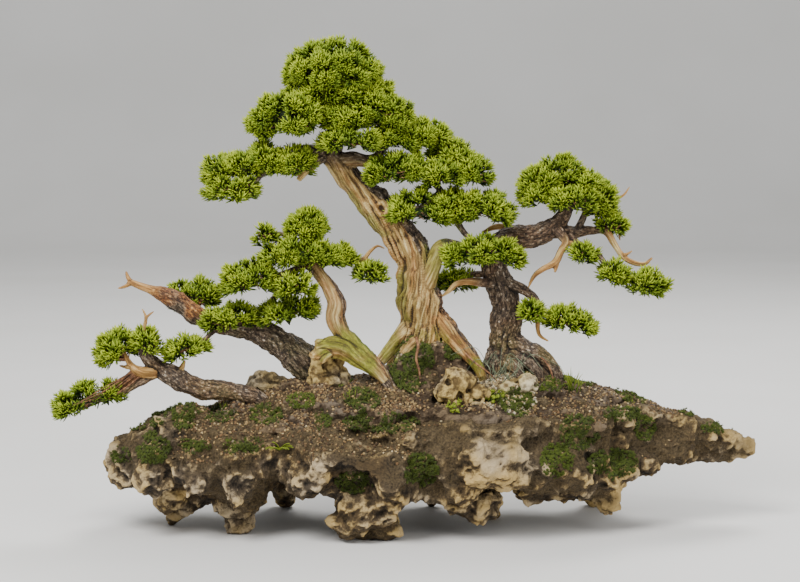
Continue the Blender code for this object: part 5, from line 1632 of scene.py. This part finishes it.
class GROVE_OT_stage(bpy.types.Operator):
    """A pale studio floor that sweeps up behind, soft lights and the camera"""

    bl_idname = "grove.stage"
    bl_label = "Studio stage"

    def execute(self, context):
        look = context.scene.grove_look
        clear_selection()
        bpy.ops.mesh.primitive_plane_add(size=1, location=(0, 1.2, 0))
        sweep = bpy.context.object
        sweep.name = "studio_sweep"
        sweep.scale = (9, 7, 1)
        bpy.ops.object.transform_apply(location=True, rotation=True, scale=True)
        bpy.ops.object.mode_set(mode="EDIT")
        bpy.ops.mesh.select_all(action="DESELECT")
        bpy.ops.mesh.select_mode(type="EDGE")
        bpy.ops.object.mode_set(mode="OBJECT")
        back = max(corner.co.y for corner in sweep.data.vertices)
        for edge in sweep.data.edges:
            edge.select = all(abs(sweep.data.vertices[i].co.y - back) < 0.001 for i in edge.vertices)
        bpy.ops.object.mode_set(mode="EDIT")
        bpy.ops.mesh.extrude_region_move(TRANSFORM_OT_translate={"value": (0, 0, 4.0)})
        bpy.ops.mesh.select_all(action="SELECT")
        bpy.ops.mesh.normals_make_consistent(inside=False)
        bpy.ops.object.mode_set(mode="OBJECT")
        curve = sweep.modifiers.new("curve", "BEVEL")
        curve.width = 1.2
        curve.segments = 24
        apply_modifiers(sweep)
        bpy.ops.object.shade_smooth()
        sweep.data.materials.append(material_for(pale_floor))

        for name, place, size, power in (
            ("key", (-1.1, -1.7, 2.3), 1.3, look.key_power),
            ("fill", (1.8, -1.6, 1.2), 1.6, look.fill_power),
            ("rim", (0.6, 1.5, 2.2), 1.2, look.rim_power),
        ):
            bpy.ops.object.light_add(type="AREA", location=place)
            lamp = bpy.context.object
            lamp.name = name + "_light"
            lamp.data.size = size
            lamp.data.energy = power
            lamp.rotation_euler = (Vector(LIGHTS_AIM) - Vector(place)).to_track_quat("-Z", "Y").to_euler()
        world = bpy.data.worlds.new("studio_air")
        world.use_nodes = True
        air = world.node_tree.nodes["Background"]
        air.inputs["Color"].default_value = linear("#E9ECF0")
        air.inputs["Strength"].default_value = look.air_light
        context.scene.world = world

        bpy.ops.object.camera_add()
        camera = bpy.context.object
        camera.name = "front_camera"
        wide, far = look.view_width, look.view_distance
        camera.data.sensor_width = SENSOR_MM
        camera.data.lens = SENSOR_MM * far / wide
        lift = math.radians(look.view_lift)
        target = Vector((look.view_x, 0, look.view_z))
        camera.location = target + Vector((0, -far * math.cos(lift), far * math.sin(lift)))
        camera.rotation_euler = (math.pi / 2 - lift, 0, 0)
        context.scene.camera = camera
        return {"FINISHED"}


# ---------------------------------------------------------------- what a user would change
class GroveSizes(bpy.types.PropertyGroup):
    """Sizes of the grove's fine parts"""

    rock_detail: bpy.props.FloatProperty(
        name="Rock detail", description="Mesh spacing on the slab", default=0.0027, unit="LENGTH")
    soil_detail: bpy.props.FloatProperty(
        name="Soil detail", description="Mesh spacing on the mound", default=0.0026, unit="LENGTH")
    stone_detail: bpy.props.FloatProperty(
        name="Stone detail", description="Mesh spacing on the accent stones", default=0.0013, unit="LENGTH")
    wood_detail: bpy.props.FloatProperty(
        name="Wood detail", description="Mesh spacing on the trunks", default=0.0013, unit="LENGTH")
    shoot_length: bpy.props.FloatProperty(
        name="Shoot length", description="Length of one juniper shoot", default=0.0165, unit="LENGTH")
    shoot_thickness: bpy.props.FloatProperty(
        name="Shoot thickness", description="Thickness of a scale-leaved cord", default=0.0019, unit="LENGTH")
    shoot_cover: bpy.props.FloatProperty(
        name="Shoots per area", description="Shoots on each square metre of pad", default=43500.0)
    clump_size: bpy.props.FloatProperty(
        name="Clump size", description="Width of a clump of shoots", default=0.026, unit="LENGTH")
    grit_size: bpy.props.FloatProperty(
        name="Grit size", description="Width of a middling grain", default=0.0024, unit="LENGTH")
    grit_cover: bpy.props.FloatProperty(name="Grit cover", description="How thickly grit lies", default=2.2)
    moss_cover: bpy.props.FloatProperty(name="Moss cover", description="How thickly moss grows", default=1.6)


class GroveLook(bpy.types.PropertyGroup):
    """Lights and view"""

    key_power: bpy.props.FloatProperty(
        name="Key light", description="Power of the front light", default=110.0, subtype="POWER")
    fill_power: bpy.props.FloatProperty(
        name="Fill light", description="Power of the side light", default=30.0, subtype="POWER")
    rim_power: bpy.props.FloatProperty(
        name="Rim light", description="Power of the back light", default=48.0, subtype="POWER")
    air_light: bpy.props.FloatProperty(
        name="Air light", description="Strength of the light from all round", default=0.6)
    view_width: bpy.props.FloatProperty(
        name="View width", description="Width in view at the grove", default=0.88, unit="LENGTH")
    view_distance: bpy.props.FloatProperty(
        name="View distance", description="Camera's distance from the grove", default=2.4, unit="LENGTH")
    view_lift: bpy.props.FloatProperty(
        name="View lift", description="Degrees the camera looks down", default=6.0)
    view_x: bpy.props.FloatProperty(
        name="View across", description="Where the view's middle falls across", default=-0.0066,
        unit="LENGTH")
    view_z: bpy.props.FloatProperty(
        name="View height", description="Where the view's middle falls in height", default=0.260,
        unit="LENGTH")


class GROVE_PT_panel(bpy.types.Panel):
    """Sidebar panel with the grove's settings and its makers"""

    bl_idname = "GROVE_PT_panel"
    bl_label = "Juniper Grove"
    bl_space_type = "VIEW_3D"
    bl_region_type = "UI"
    bl_category = "Grove"

    def draw(self, context):
        for group in (context.scene.grove_sizes, context.scene.grove_look):
            for name in group.__annotations__:
                self.layout.prop(group, name)
        for maker in MAKERS:
            self.layout.operator(maker.bl_idname)


MAKERS = (
    GROVE_OT_slab, GROVE_OT_soil, GROVE_OT_stones, GROVE_OT_grit, GROVE_OT_moss, GROVE_OT_wood,
    GROVE_OT_twigs, GROVE_OT_foliage, GROVE_OT_herbs, GROVE_OT_strands, GROVE_OT_stage,
)
CLASSES = (GroveSizes, GroveLook, *MAKERS, GROVE_PT_panel)


def register():
    for each in CLASSES:
        bpy.utils.register_class(each)
    bpy.types.Scene.grove_sizes = bpy.props.PointerProperty(type=GroveSizes)
    bpy.types.Scene.grove_look = bpy.props.PointerProperty(type=GroveLook)


def unregister():
    del bpy.types.Scene.grove_look
    del bpy.types.Scene.grove_sizes
    for each in reversed(CLASSES):
        bpy.utils.unregister_class(each)


def main():
    register()
    for maker in MAKERS:
        group, name = maker.bl_idname.split(".")
        getattr(getattr(bpy.ops, group), name)()


if __name__ == "__main__":
    main()
